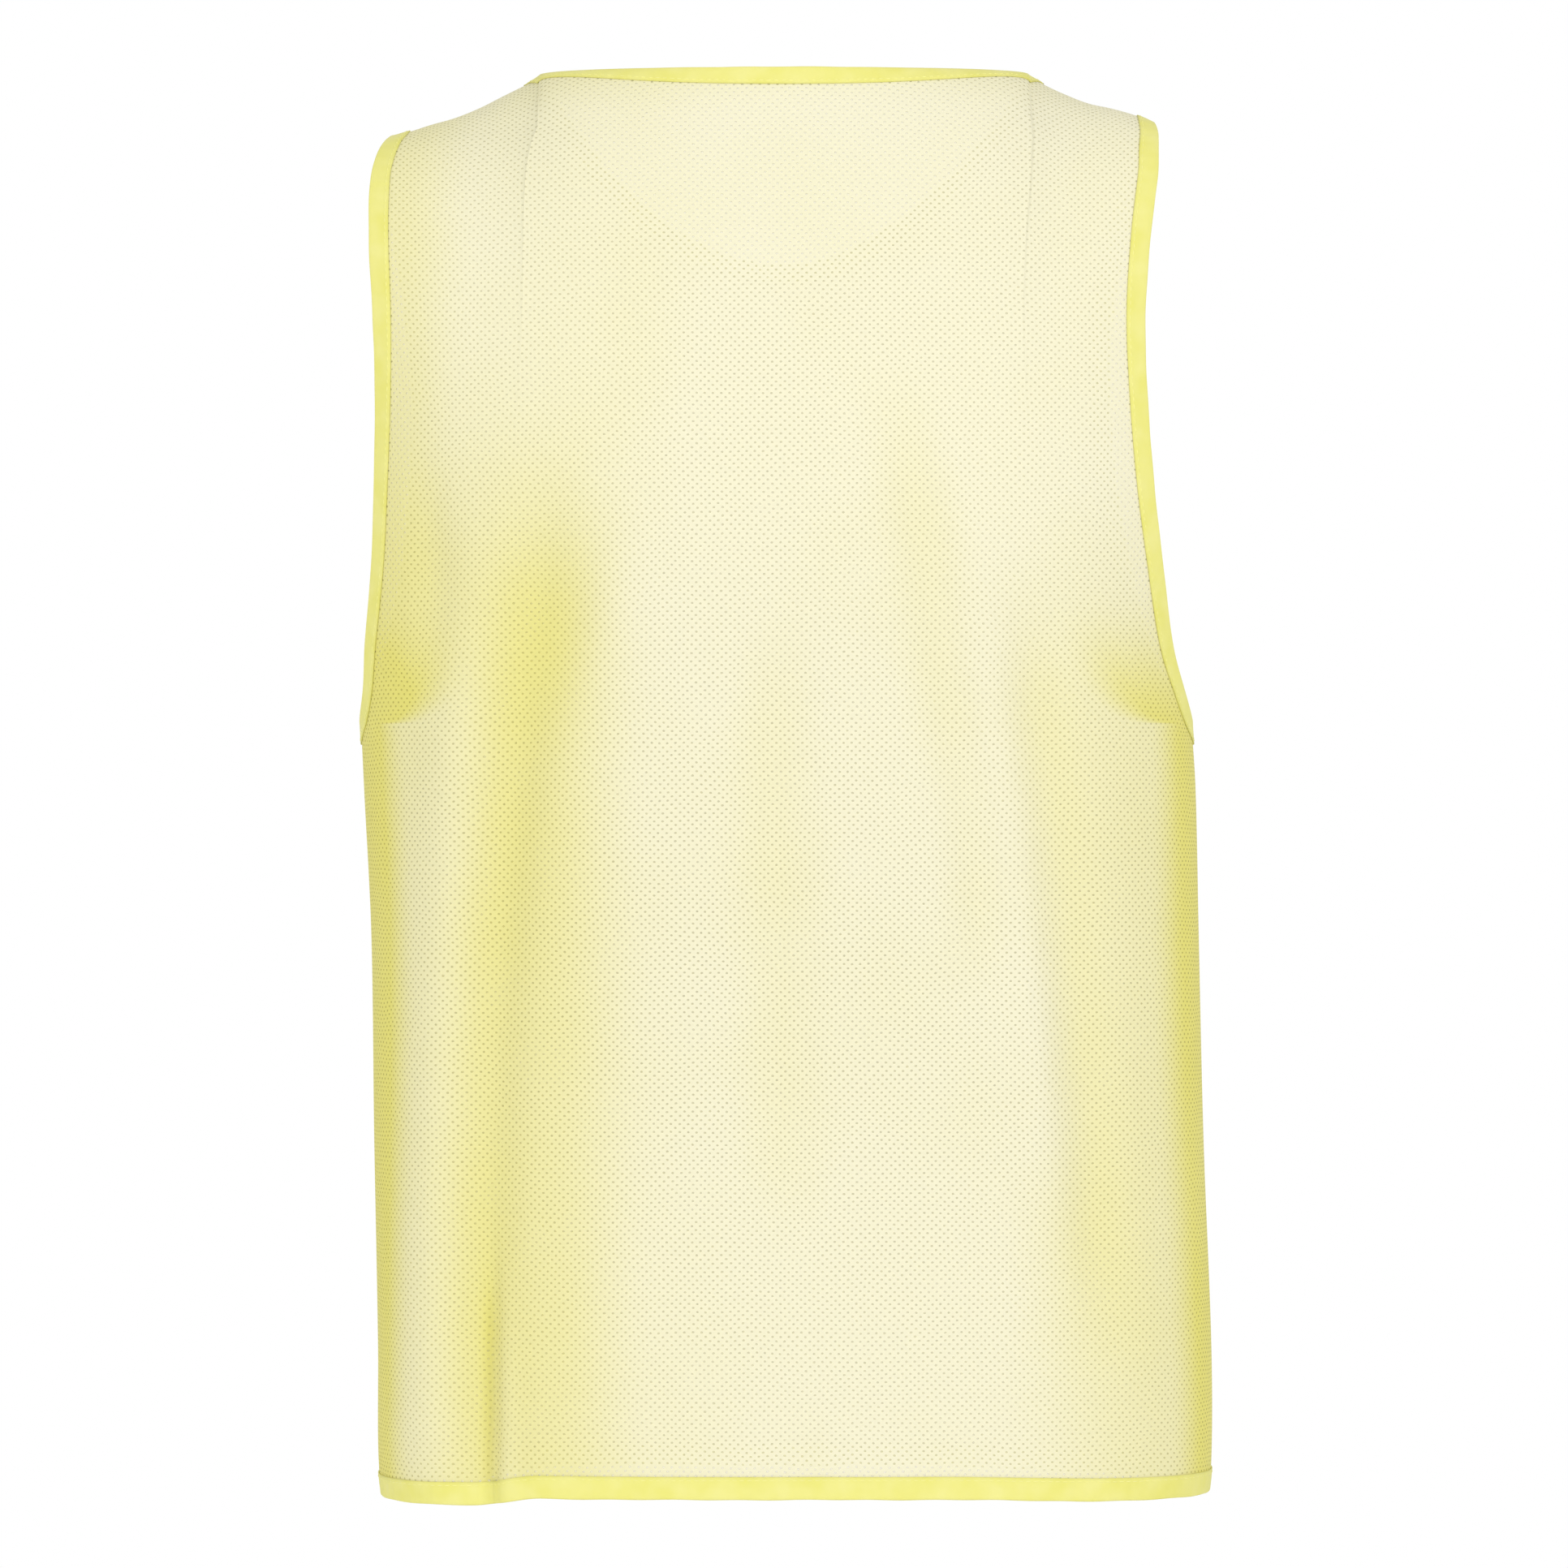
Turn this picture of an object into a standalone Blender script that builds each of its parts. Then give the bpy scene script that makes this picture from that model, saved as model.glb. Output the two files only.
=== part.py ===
"""Training bib, worn and seen from behind.

Two panels of fine mesh cloth are joined at the shoulders and sides. Folded tape binds the raw
edges at the neck, the two armholes and the hem. The photographed side, the back, faces -Y,
and +Z is up. The origin is on the wearer's shoulder line, where the garment hangs.
All sizes are in millimetres and become metres when a mesh is made.
"""

import math
from collections import namedtuple

import bmesh
import bpy
from mathutils import Vector
from mathutils.bvhtree import BVHTree
from mathutils.geometry import barycentric_transform, delaunay_2d_cdt

MM = 0.001

# Cloth and tape
CLOTH = 1.2
TAPE = 1.0
TAPE_WIDTH = 10.0
NECK_TAPE_WIDTH = 8.5
TAPE_CLEARANCE = 0.45
TAPE_FOLD = 0.8
SEAM_GAP = 0.3

# Heights of the garment, measured from the shoulder line
NECK_POINT_Z = 16.5
UNDERARM_Z = -298.0
HEM_Z = -667.0

# Neck opening
NECK_HALF_WIDTH = 119.0
BACK_NECK_DEPTH = 68.0
FRONT_NECK_DEPTH = 90.0
FRONT_NECK_DROP = 86.0
FRONT_NECK_CURVE = 2.0

# How square the sections are: 2 is an ellipse, more is squarer
SQUARE_HEM = 3.0
SQUARE_CHEST = 2.6

# Fine grid that the shape is read from
NECK_COLUMNS = 44
SHOULDER_COLUMNS = 24
LOWER_ROWS = 48
UPPER_ROWS = 90

# Spacing of the points of each panel, across, up and along its border
POINT_ACROSS = 12.5
POINT_UP = 26.0
BORDER_STEP = 14.0
# Distance of the points next to a border's two ends
SEAM_STEP = 7.0
# Points nearer than this to the border or to a tape's inner line are left out
POINT_CLEAR = 7.0

BACK = -1
FRONT = 1
LEFT = -1
RIGHT = 1

# Distance of the cloth from the garment's middle plane at the centre back and centre front
Profile = namedtuple("Profile", "height back front")
PROFILES = (
    Profile(-680.0, 104.0, 106.0),
    Profile(-600.0, 103.0, 107.0),
    Profile(-450.0, 102.0, 108.0),
    Profile(-300.0, 113.0, 111.0),
    Profile(-200.0, 124.0, 114.0),
    Profile(-120.0, 121.0, 110.0),
    Profile(-30.0, 110.0, 100.0),
    Profile(30.0, 102.0, 90.0),
)

# Side edges of the body below the underarm
Flank = namedtuple("Flank", "height left right")
FLANKS = (
    Flank(-680.0, -194.5, 205.5),
    Flank(-655.0, -197.2, 208.0),
    Flank(-600.0, -197.5, 208.0),
    Flank(-500.0, -199.5, 204.3),
    Flank(-400.0, -201.0, 202.0),
    Flank(-330.0, -204.5, 200.5),
    Flank(-298.0, -206.0, 198.5),
)

# Edges of the back panel at the armholes, and how far the body goes on past each edge
Armhole = namedtuple("Armhole", "height left right wrap_left wrap_right")
ARMHOLES = (
    Armhole(-298.0, -206.0, 198.5, 0.0, 0.0),
    Armhole(-282.0, -203.0, 193.0, 0.024, 0.030),
    Armhole(-261.0, -201.6, 186.8, 0.043, 0.063),
    Armhole(-222.0, -198.0, 181.2, 0.065, 0.12),
    Armhole(-182.0, -196.4, 176.3, 0.085, 0.17),
    Armhole(-143.0, -195.7, 173.4, 0.11, 0.20),
    Armhole(-103.0, -196.6, 172.3, 0.16, 0.22),
    Armhole(-63.0, -198.8, 175.4, 0.20, 0.23),
    Armhole(-35.0, -198.6, 179.2, 0.22, 0.23),
    Armhole(-24.0, -196.3, 179.9, 0.22, 0.23),
    Armhole(-16.0, -193.2, 180.4, 0.22, 0.22),
    Armhole(-12.0, -190.5, 180.4, 0.22, 0.22),
    Armhole(-5.0, -190.5, 179.5, 0.22, 0.22),
)
# The front armholes are scooped further in by this much at the middle of their height
FRONT_SCOOP = 12.0

# Height of each shoulder seam by its distance from the centre
Shoulder = namedtuple("Shoulder", "outward left right")
SHOULDERS = (
    Shoulder(119.0, 17.8, 18.2),
    Shoulder(124.0, 14.6, 15.4),
    Shoulder(129.0, 12.1, 12.7),
    Shoulder(137.0, 8.1, 9.0),
    Shoulder(148.0, 2.4, 4.6),
    Shoulder(160.0, -2.6, 1.8),
    Shoulder(172.0, -6.1, -1.8),
    Shoulder(181.0, -9.0, -6.0),
    Shoulder(190.0, -11.8, -12.0),
)

# The hem hangs lower towards each side: by how much, from which distance and over what width
HemDrop = namedtuple("HemDrop", "amount start run")
HEM_DROPS = {
    LEFT: HemDrop(4.2, 116.0, 34.0),
    RIGHT: HemDrop(2.2, 70.0, 110.0),
}

# Soft folds: each runs from its top to its bottom, bows sideways at the middle, and is a trough
# of the given depth (a ridge where the depth is negative) and half width
Fold = namedtuple("Fold", "top_x top_z foot_x foot_z bow width depth")
BACK_FOLDS = (
    Fold(-172.0, -150.0, -168.0, -300.0, 2.0, 11.0, 3.5),
    Fold(-108.0, -160.0, -143.0, -720.0, -16.0, 17.0, 7.0),
    Fold(-152.0, -230.0, -172.0, -720.0, -4.0, 18.0, -5.0),
    Fold(-86.0, -180.0, -112.0, -330.0, -3.0, 13.0, 3.0),
    Fold(-3.0, -220.0, 3.0, -560.0, -3.0, 16.0, 2.5),
    Fold(47.0, -120.0, 108.0, -460.0, 6.0, 15.0, 5.0),
    Fold(73.0, -190.0, 134.0, -560.0, 4.0, 14.0, -2.5),
    Fold(112.0, -210.0, 156.0, -620.0, 2.0, 14.0, 4.0),
    Fold(14.0, -600.0, 17.0, -720.0, 0.0, 9.0, 2.0),
)
FRONT_FOLDS = (
    Fold(-160.0, -170.0, -150.0, -420.0, 4.0, 14.0, 4.0),
    Fold(-92.0, -150.0, -118.0, -640.0, -8.0, 18.0, 5.0),
    Fold(-30.0, -260.0, -44.0, -720.0, 3.0, 18.0, 3.0),
    Fold(24.0, -190.0, 40.0, -560.0, 4.0, 16.0, 2.5),
    Fold(90.0, -140.0, 126.0, -720.0, 9.0, 18.0, 5.5),
    Fold(150.0, -180.0, 168.0, -470.0, 2.0, 13.0, 3.5),
)
FOLD_FADE = 90.0
# Folds die out within this distance of the side seams
SEAM_CALM = 60.0

# The sharp crease at the lower left of the back, which runs out through the hem
CREASE_X = -141.0
CREASE_TOP_Z = -540.0
CREASE_WIDTH = 12.0
CREASE_DEPTH = 3.0

# How the cloth turns over from the back or front to the shoulder seam
TURN = {BACK: 4.0, FRONT: 3.0}
TIP_ROUNDNESS = 0.8

Finish = namedtuple("Finish", "name colour roughness")
MESH_CLOTH = Finish("mesh_cloth", (0.88, 0.86, 0.55), 0.8)
BINDING_TAPE = Finish("binding_tape", (0.84, 0.82, 0.24), 0.7)

# A place on the cloth: where it is on the flat pattern and where in space
Spot = namedtuple("Spot", "flat point")

# One section of a tape: a spot on the edge and the spot where the tape ends
Pair = namedtuple("Pair", "edge inner")

# The same with points in space and the cloth's outward direction at each
Station = namedtuple("Station", "edge edge_outward inner inner_outward")


def smooth(value):
    """Ease a value from 0 to 1, flat at both ends."""
    value = min(max(value, 0.0), 1.0)
    return value * value * (3.0 - 2.0 * value)


def read_table(rows, column, at):
    """Read a column of a table by its first column, on a smooth curve through the rows."""
    keys = [row[0] for row in rows]
    values = [getattr(row, column) for row in rows]
    at = min(max(at, keys[0]), keys[-1])
    span = max(i for i in range(len(keys) - 1) if keys[i] <= at)

    def slope(i):
        low = max(i - 1, 0)
        high = min(i + 1, len(keys) - 1)
        return (values[high] - values[low]) / (keys[high] - keys[low])

    step = keys[span + 1] - keys[span]
    t = (at - keys[span]) / step
    start = (2 * t**3 - 3 * t**2 + 1) * values[span]
    start += (t**3 - 2 * t**2 + t) * step * slope(span)
    end = (3 * t**2 - 2 * t**3) * values[span + 1]
    end += (t**3 - t**2) * step * slope(span + 1)
    return start + end


def side_name(hand):
    """Name a hand as the tables do."""
    return "left" if hand == LEFT else "right"


def tip_out(hand):
    """Distance of the shoulder tip from the centre line."""
    return abs(getattr(ARMHOLES[-1], side_name(hand)))


def seam_height(hand, out):
    """Height of the shoulder seam at a distance from the centre line."""
    return read_table(SHOULDERS, side_name(hand), out)


def edge_out(hand, facing, z):
    """Distance of a panel's side edge from the centre line: side seam, then armhole."""
    column = side_name(hand)
    if z <= UNDERARM_Z:
        return abs(read_table(FLANKS, column, z))
    out = abs(read_table(ARMHOLES, column, z))
    if facing == FRONT:
        up = (z - UNDERARM_Z) / (seam_height(hand, tip_out(hand)) - UNDERARM_Z)
        out -= FRONT_SCOOP * max(math.sin(math.pi * min(up, 1.0)), 0.0) ** 0.8
    return out


def wrap_at(hand, z):
    """How far the body goes on past the armhole's edge, as a part of the edge's distance."""
    return read_table(ARMHOLES, "wrap_" + side_name(hand), z) if z > UNDERARM_Z else 0.0


def squareness(z):
    """Exponent of the body's section at a height."""
    down = smooth((UNDERARM_Z - z) / (UNDERARM_Z - HEM_Z))
    return SQUARE_CHEST + (SQUARE_HEM - SQUARE_CHEST) * down


def edge_angle(hand, z):
    """Angle of the panel's side edge on the body's section, measured from its middle."""
    return math.asin((1.0 / (1.0 + wrap_at(hand, z))) ** (squareness(z) / 2))


def body_point(hand, facing, angle, z):
    """Distance out and depth of the body's section at a height and an angle."""
    power = squareness(z)
    width = edge_out(hand, facing, z) * (1.0 + wrap_at(hand, z))
    reach = read_table(PROFILES, "back" if facing == BACK else "front", z)
    out = width * math.sin(angle) ** (2.0 / power)
    depth = facing * max(reach * max(math.cos(angle), 0.0) ** (2.0 / power), SEAM_GAP / 2)
    return out, depth


def section_outward(hand, facing, angle, z):
    """Level outward direction of the body's section at a height and an angle."""
    step = 0.002
    angle = min(max(angle, step), math.pi / 2 - step)
    low_out, low_depth = body_point(hand, facing, angle - step, z)
    high_out, high_depth = body_point(hand, facing, angle + step, z)
    return Vector((
        hand * (low_depth - high_depth) * -facing, (high_out - low_out) * facing, 0.0)).normalized()


def top_out_at(hand, share):
    """Distance of a column's upper end from the centre line."""
    tip_angle = edge_angle(hand, ARMHOLES[-1].height)
    ratio = math.sin(share * tip_angle) / math.sin(tip_angle)
    return tip_out(hand) * ratio ** (2.0 / SQUARE_CHEST)


def neck_share(hand):
    """Share of the edge's angle at which the neckline meets the shoulder seam."""
    tip_angle = edge_angle(hand, ARMHOLES[-1].height)
    ratio = (NECK_HALF_WIDTH / tip_out(hand)) ** (SQUARE_CHEST / 2)
    return math.asin(ratio * math.sin(tip_angle)) / tip_angle


def top_edge(hand, facing, out):
    """Depth and height of a panel's top edge: the neckline, then the shoulder seam."""
    if out >= NECK_HALF_WIDTH - 0.001:
        return facing * SEAM_GAP / 2, seam_height(hand, out)
    part = out / NECK_HALF_WIDTH
    round_part = math.sqrt(1.0 - part**2)
    level = NECK_POINT_Z + (seam_height(hand, NECK_HALF_WIDTH) - NECK_POINT_Z) * part**2
    if facing == BACK:
        return -max(BACK_NECK_DEPTH * round_part, SEAM_GAP / 2), level
    depth = max(FRONT_NECK_DEPTH * round_part, SEAM_GAP / 2)
    return depth, level - FRONT_NECK_DROP * round_part**FRONT_NECK_CURVE


def hem_height(hand, out):
    """Height of the hem at a distance from the centre line."""
    drop = HEM_DROPS[hand]
    return HEM_Z - drop.amount * smooth((out - drop.start) / drop.run)


def grid_columns(hand):
    """Share of the edge's angle for each column of the fine grid, from the middle out."""
    neck = neck_share(hand)
    shares = [neck * math.sin(i / NECK_COLUMNS * math.pi / 2) for i in range(NECK_COLUMNS + 1)]
    for i in range(1, SHOULDER_COLUMNS + 1):
        shares.append(neck + (1.0 - neck) * i / SHOULDER_COLUMNS)
    return shares


def column_places(hand, facing, share):
    """Places up one column: point in space, point of the body's section, lean and direction."""
    places = []
    for j in range(LOWER_ROWS):
        angle = share * math.pi / 2
        hem = hem_height(hand, body_point(hand, facing, angle, HEM_Z)[0])
        z = hem + (UNDERARM_Z - hem) * j / LOWER_ROWS
        out, depth = body_point(hand, facing, angle, z)
        point = Vector((hand * out, depth, z))
        places.append((point, out, depth, section_outward(hand, facing, angle, z)))
    top_out = top_out_at(hand, share)
    top_depth, top_z = top_edge(hand, facing, top_out)
    past_neck = smooth((top_out - NECK_HALF_WIDTH) / (tip_out(hand) - NECK_HALF_WIDTH))
    roundness = 1.0 + min(top_out / NECK_HALF_WIDTH, 1.0) ** 2 + TIP_ROUNDNESS * past_neck
    for j in range(UPPER_ROWS + 1):
        rise = 1.0 - (1.0 - (j / UPPER_ROWS) ** 2) ** 2.3
        z = UNDERARM_Z + (top_z - UNDERARM_Z) * rise
        angle = share * edge_angle(hand, z)
        out, depth = body_point(hand, facing, angle, z)
        lean = (1.0 - rise ** TURN[facing]) ** (1.0 / roundness)
        point = Vector((hand * out, top_depth + (depth - top_depth) * lean, z))
        places.append((point, out, depth, section_outward(hand, facing, angle, z)))
    return places


def fold_push(folds, x, z):
    """How far the folds push the cloth inwards at a place."""
    push = 0.0
    for fold in folds:
        along = (fold.top_z - z) / (fold.top_z - fold.foot_z)
        if 0.0 < along < 1.0:
            line = fold.top_x + (fold.foot_x - fold.top_x) * along
            line += fold.bow * math.sin(math.pi * along)
            from_top = smooth((fold.top_z - z) / FOLD_FADE)
            from_foot = smooth((z - fold.foot_z) / FOLD_FADE)
            push += fold.depth * from_top * from_foot * math.exp(-(((x - line) / fold.width) ** 2))
    return push


def crease_push(x, z):
    """How far the crease at the lower left of the back pushes the cloth inwards."""
    strength = smooth((CREASE_TOP_Z - z) / FOLD_FADE)
    return CREASE_DEPTH * strength * math.exp(-(((x - CREASE_X) / CREASE_WIDTH) ** 2))


def folded_point(facing, point, outward):
    """Move a point of the plain body to where the folds take it."""
    push = fold_push(BACK_FOLDS if facing == BACK else FRONT_FOLDS, point.x, point.z)
    if facing == BACK:
        push += crease_push(point.x, point.z)
    return point - outward * push * smooth(abs(point.y) / SEAM_CALM)


def flat_places(columns):
    """Places on the flat pattern: along each row from the middle, and up each column."""
    across = [0.0] * len(columns[0])
    flats = []
    for i, column in enumerate(columns):
        up = 0.0
        flat = []
        for j, (point, out, depth, _) in enumerate(column):
            if i:
                _, last_out, last_depth, _ = columns[i - 1][j]
                across[j] += math.hypot(out - last_out, depth - last_depth)
            if j:
                under, _, under_depth, _ = column[j - 1]
                lean = (point.y - depth) - (under.y - under_depth)
                up += math.hypot(point.z - under.z, lean)
            flat.append((across[j], up + column[0][0].z))
        flats.append(flat)
    return flats


def fine_grid(facing):
    """Rows of spots all over a panel's outer face, hem first, each from the left to the right."""
    halves = {}
    for hand in (LEFT, RIGHT):
        columns = [column_places(hand, facing, share) for share in grid_columns(hand)]
        half = []
        for column, flat in zip(columns, flat_places(columns)):
            half.append([
                Spot(Vector((hand * across, up)), folded_point(facing, point, outward))
                for (point, _, _, outward), (across, up) in zip(column, flat)
            ])
        halves[hand] = half
    columns = halves[LEFT][:0:-1] + halves[RIGHT]
    return [list(row) for row in zip(*columns)]


def blend_spots(first, second, part):
    """Spot between two others."""
    return Spot(first.flat.lerp(second.flat, part), first.point.lerp(second.point, part))


def line_marks(length, first, last):
    """Distances along a border: its two ends, one mark near each, and even steps between."""
    count = max(round((length - first - last) / BORDER_STEP), 1)
    step = (length - first - last) / count
    return [0.0] + [first + step * i for i in range(count + 1)] + [length]


def marked_line(spots, first, last):
    """Spots at the marks along a fine line, the first and last marks at given distances."""
    reached = [0.0]
    for low, high in zip(spots, spots[1:]):
        reached.append(reached[-1] + (high.point - low.point).length)
    line = []
    span = 0
    for mark in line_marks(reached[-1], first, last):
        while span < len(spots) - 2 and reached[span + 1] < mark:
            span += 1
        part = (mark - reached[span]) / (reached[span + 1] - reached[span])
        line.append(blend_spots(spots[span], spots[span + 1], min(part, 1.0)))
    return line


class Panel:
    """Outer face of one panel: its border, the lines its tapes end on, and the points between."""

    def __init__(self, facing):
        self.facing = facing
        self.rows = fine_grid(facing)
        self.spots = [spot for row in self.rows for spot in row]
        self.corners = self.grid_triangles()
        flats = [spot.flat.to_3d() for spot in self.spots]
        self.pattern = BVHTree.FromPolygons(flats, self.corners)
        top = self.rows[-1]
        neck_end = len(top) - SHOULDER_COLUMNS
        self.hem = marked_line(self.rows[0], SEAM_STEP, SEAM_STEP)
        self.neck = marked_line(top[SHOULDER_COLUMNS:neck_end], SEAM_STEP, SEAM_STEP)
        self.side = {}
        self.armhole = {}
        self.shoulder = {}
        for hand, column in ((LEFT, 0), (RIGHT, -1)):
            edge = [row[column] for row in self.rows]
            self.side[hand] = marked_line(edge[: LOWER_ROWS + 1], TAPE_WIDTH, TAPE_WIDTH)
            self.armhole[hand] = marked_line(edge[LOWER_ROWS:], SEAM_STEP, SEAM_STEP)
            seam = top[: SHOULDER_COLUMNS + 1] if hand == LEFT else top[: neck_end - 2 : -1]
            self.shoulder[hand] = marked_line(seam, TAPE_WIDTH, NECK_TAPE_WIDTH)

    def grid_triangles(self):
        """Corners of the fine grid's triangles."""
        width = len(self.rows[0])
        corners = []
        for j in range(len(self.rows) - 1):
            for i in range(width - 1):
                a = j * width + i
                corners += [(a, a + 1, a + width + 1), (a, a + width + 1, a + width)]
        return corners

    def read_at(self, flat):
        """Spot at a place on the flat pattern."""
        hit, _, face, _ = self.pattern.find_nearest(flat.to_3d())
        three = [self.spots[k] for k in self.corners[face]]
        flats = [spot.flat.to_3d() for spot in three]
        point = barycentric_transform(hit, *flats, *[spot.point for spot in three])
        return Spot(hit.to_2d(), point)

    def inward_spot(self, before, spot, after, width, turn):
        """Spot at a distance inwards from a border line, square to it on the pattern."""
        along = after.flat - before.flat
        inward = Vector((-along.y, along.x)).normalized() * turn
        inner = self.read_at(spot.flat + inward * width)
        stretch = width / (inner.point - spot.point).length
        return self.read_at(spot.flat + inward * width * stretch)

    def tape_pairs(self, line, width, turn, first_end, last_end):
        """Pairs of spots of a tape along a border line; its two ends lie on the seams."""
        pairs = [Pair(line[0], first_end)]
        for before, spot, after in zip(line, line[1:], line[2:]):
            pairs.append(Pair(spot, self.inward_spot(before, spot, after, width, turn)))
        pairs.append(Pair(line[-1], last_end))
        return pairs

    def all_tapes(self):
        """Pairs of spots of every tape along this panel, by name."""
        left, right = self.side[LEFT], self.side[RIGHT]
        tapes = {
            "hem": self.tape_pairs(self.hem, TAPE_WIDTH, 1, left[1], right[1]),
            "neck": self.tape_pairs(
                self.neck, NECK_TAPE_WIDTH, -1,
                self.shoulder[LEFT][-2], self.shoulder[RIGHT][-2]),
        }
        for hand in (LEFT, RIGHT):
            tapes[side_name(hand)] = self.tape_pairs(
                self.armhole[hand], TAPE_WIDTH, hand,
                self.side[hand][-2], self.shoulder[hand][1])
        return tapes

    def border(self):
        """Spots all round the panel: hem, right side, shoulders and neck, left side."""
        ring = self.hem[:-1] + self.side[RIGHT][:-1] + self.armhole[RIGHT][:-1]
        ring += self.shoulder[RIGHT][:-1] + self.neck[:0:-1] + self.shoulder[LEFT][:0:-1]
        ring += self.armhole[LEFT][:0:-1] + self.side[LEFT][:0:-1]
        return ring

    def shoulder_spots(self):
        """Spots just below each shoulder seam, which keep the cloth level up to the seam."""
        spots = []
        for hand, seam in self.shoulder.items():
            for before, spot, after in zip(seam[1:], seam[2:-2], seam[3:]):
                spots.append(self.inward_spot(before, spot, after, SEAM_STEP, hand))
        return spots

    def inside_spots(self, fence):
        """Spots of a regular lattice on the pattern, clear of the lines in the fence."""
        flats = [spot.flat for spot in self.spots]
        low = Vector((min(flat.x for flat in flats), min(flat.y for flat in flats)))
        high = Vector((max(flat.x for flat in flats), max(flat.y for flat in flats)))
        across = round((high.x - low.x) / POINT_ACROSS)
        up = round((high.y - low.y) / POINT_UP)
        spots = []
        for j in range(1, up):
            for i in range(1, across):
                place = Vector((
                    low.x + (high.x - low.x) * (i + 0.5 * (j % 2)) / across,
                    low.y + (high.y - low.y) * j / up,
                ))
                spot = self.read_at(place)
                if (spot.flat - place).length < 0.01 and not near_fence(place, fence):
                    spots.append(spot)
        return spots

    def mesh(self, tapes):
        """Points and triangles of the panel, with an edge along every edge of its tapes."""
        spots = []
        numbers = {}

        def number(spot):
            key = flat_key(spot)
            if key not in numbers:
                numbers[key] = len(spots)
                spots.append(spot)
            return numbers[key]

        ring = [number(spot) for spot in self.border()]
        edges = set(zip(ring, ring[1:] + ring[:1]))
        fence = [(spots[a].flat, spots[b].flat) for a, b in edges]
        for pairs in tapes.values():
            for low, high in zip(pairs, pairs[1:]):
                edges.add((number(low.inner), number(high.inner)))
                edges.add((number(low.edge), number(high.inner)))
                fence.append((low.inner.flat, high.inner.flat))
            edges.update((number(pair.edge), number(pair.inner)) for pair in pairs)
        edges = {tuple(sorted(edge)) for edge in edges}
        for spot in self.shoulder_spots() + self.inside_spots(fence):
            number(spot)
        flats = [spot.flat for spot in spots]
        found = delaunay_2d_cdt(flats, sorted(edges), [], 1, 1e-5)
        places, faces, sources = found[0], found[2], found[3]
        spots = [spots[source[0]] for source in sources]
        if self.facing == FRONT:
            faces = [face[::-1] for face in faces]
        return spots, faces


def near_fence(place, fence):
    """Whether a place on the pattern is too near to one of the lines of a fence."""
    for start, end in fence:
        along = end - start
        part = min(max((place - start).dot(along) / along.length_squared, 0.0), 1.0)
        if (start + along * part - place).length < POINT_CLEAR:
            return True
    return False


def coarse_outwards(spots, faces):
    """Outward direction of a panel's own triangles at each of its points, by flat place."""
    shell = bmesh.new()
    corners = [shell.verts.new(spot.point) for spot in spots]
    for face in faces:
        shell.faces.new([corners[k] for k in face])
    shell.normal_update()
    found = {flat_key(spot): corner.normal.copy() for spot, corner in zip(spots, corners)}
    shell.free()
    return found


def flat_key(spot):
    """Key of a spot's place on the flat pattern."""
    return round(spot.flat.x, 3), round(spot.flat.y, 3)


def tape_stations(pairs, outwards):
    """Stations of a tape, with the outward directions of the panel's triangles.

    The two ends lie on seams, where the direction is level with the neighbouring panel's.
    """
    stations = []
    for i, pair in enumerate(pairs):
        values = []
        for spot in pair:
            outward = outwards[flat_key(spot)].copy()
            if i in (0, len(pairs) - 1):
                outward.y = 0.0
            values += [spot.point, outward.normalized()]
        stations.append(Station(*values))
    return stations


def join_ring(back, front):
    """Close two lines of stations into a ring, with one station where each pair of ends meets."""
    def meet(first, second):
        return Station(*[(a + b) / 2 for a, b in zip(first, second)])

    front = front[::-1]
    ring = [meet(back[0], front[-1])] + back[1:-1] + [meet(back[-1], front[0])] + front[1:-1]
    return ring, len(back) - 1


def tape_section(station, before, after):
    """Middle line of a folded tape at one station, from the outer leaf round to the inner."""
    along = (after.edge - before.edge).normalized()
    outside = station.edge - station.inner
    outside -= along * outside.dot(along)
    outside -= station.edge_outward * outside.dot(station.edge_outward)
    over = TAPE_CLEARANCE + TAPE / 2
    under = CLOTH + over
    past = station.edge + outside.normalized() * over
    return [
        station.inner + station.inner_outward * over,
        station.edge + station.edge_outward * over,
        past + station.edge_outward * (over - TAPE_FOLD),
        past - station.edge_outward * (under - TAPE_FOLD),
        station.edge - station.edge_outward * under,
        station.inner - station.inner_outward * under,
    ]


def make_material(finish):
    """Make a plain material for a finish."""
    material = bpy.data.materials.get(finish.name)
    if material:
        return material
    material = bpy.data.materials.new(finish.name)
    material.use_nodes = True
    shader = material.node_tree.nodes["Principled BSDF"]
    shader.inputs["Base Color"].default_value = (*finish.colour, 1.0)
    shader.inputs["Roughness"].default_value = finish.roughness
    shader.inputs["Metallic"].default_value = 0.0
    return material


def add_shell(name, points, faces, thickness, offset, finish, collection):
    """Make a wall from an open surface that Solidify thickens."""
    mesh = bpy.data.meshes.new(name)
    shell = bmesh.new()
    corners = [shell.verts.new(point * MM) for point in points]
    for face in faces:
        shell.faces.new([corners[k] for k in face])
    shell.to_mesh(mesh)
    shell.free()
    mesh.shade_smooth()
    mesh.materials.append(make_material(finish))
    piece = bpy.data.objects.new(name, mesh)
    collection.objects.link(piece)
    wall = piece.modifiers.new("wall", "SOLIDIFY")
    wall.thickness = thickness * MM
    wall.offset = offset
    return piece


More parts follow.
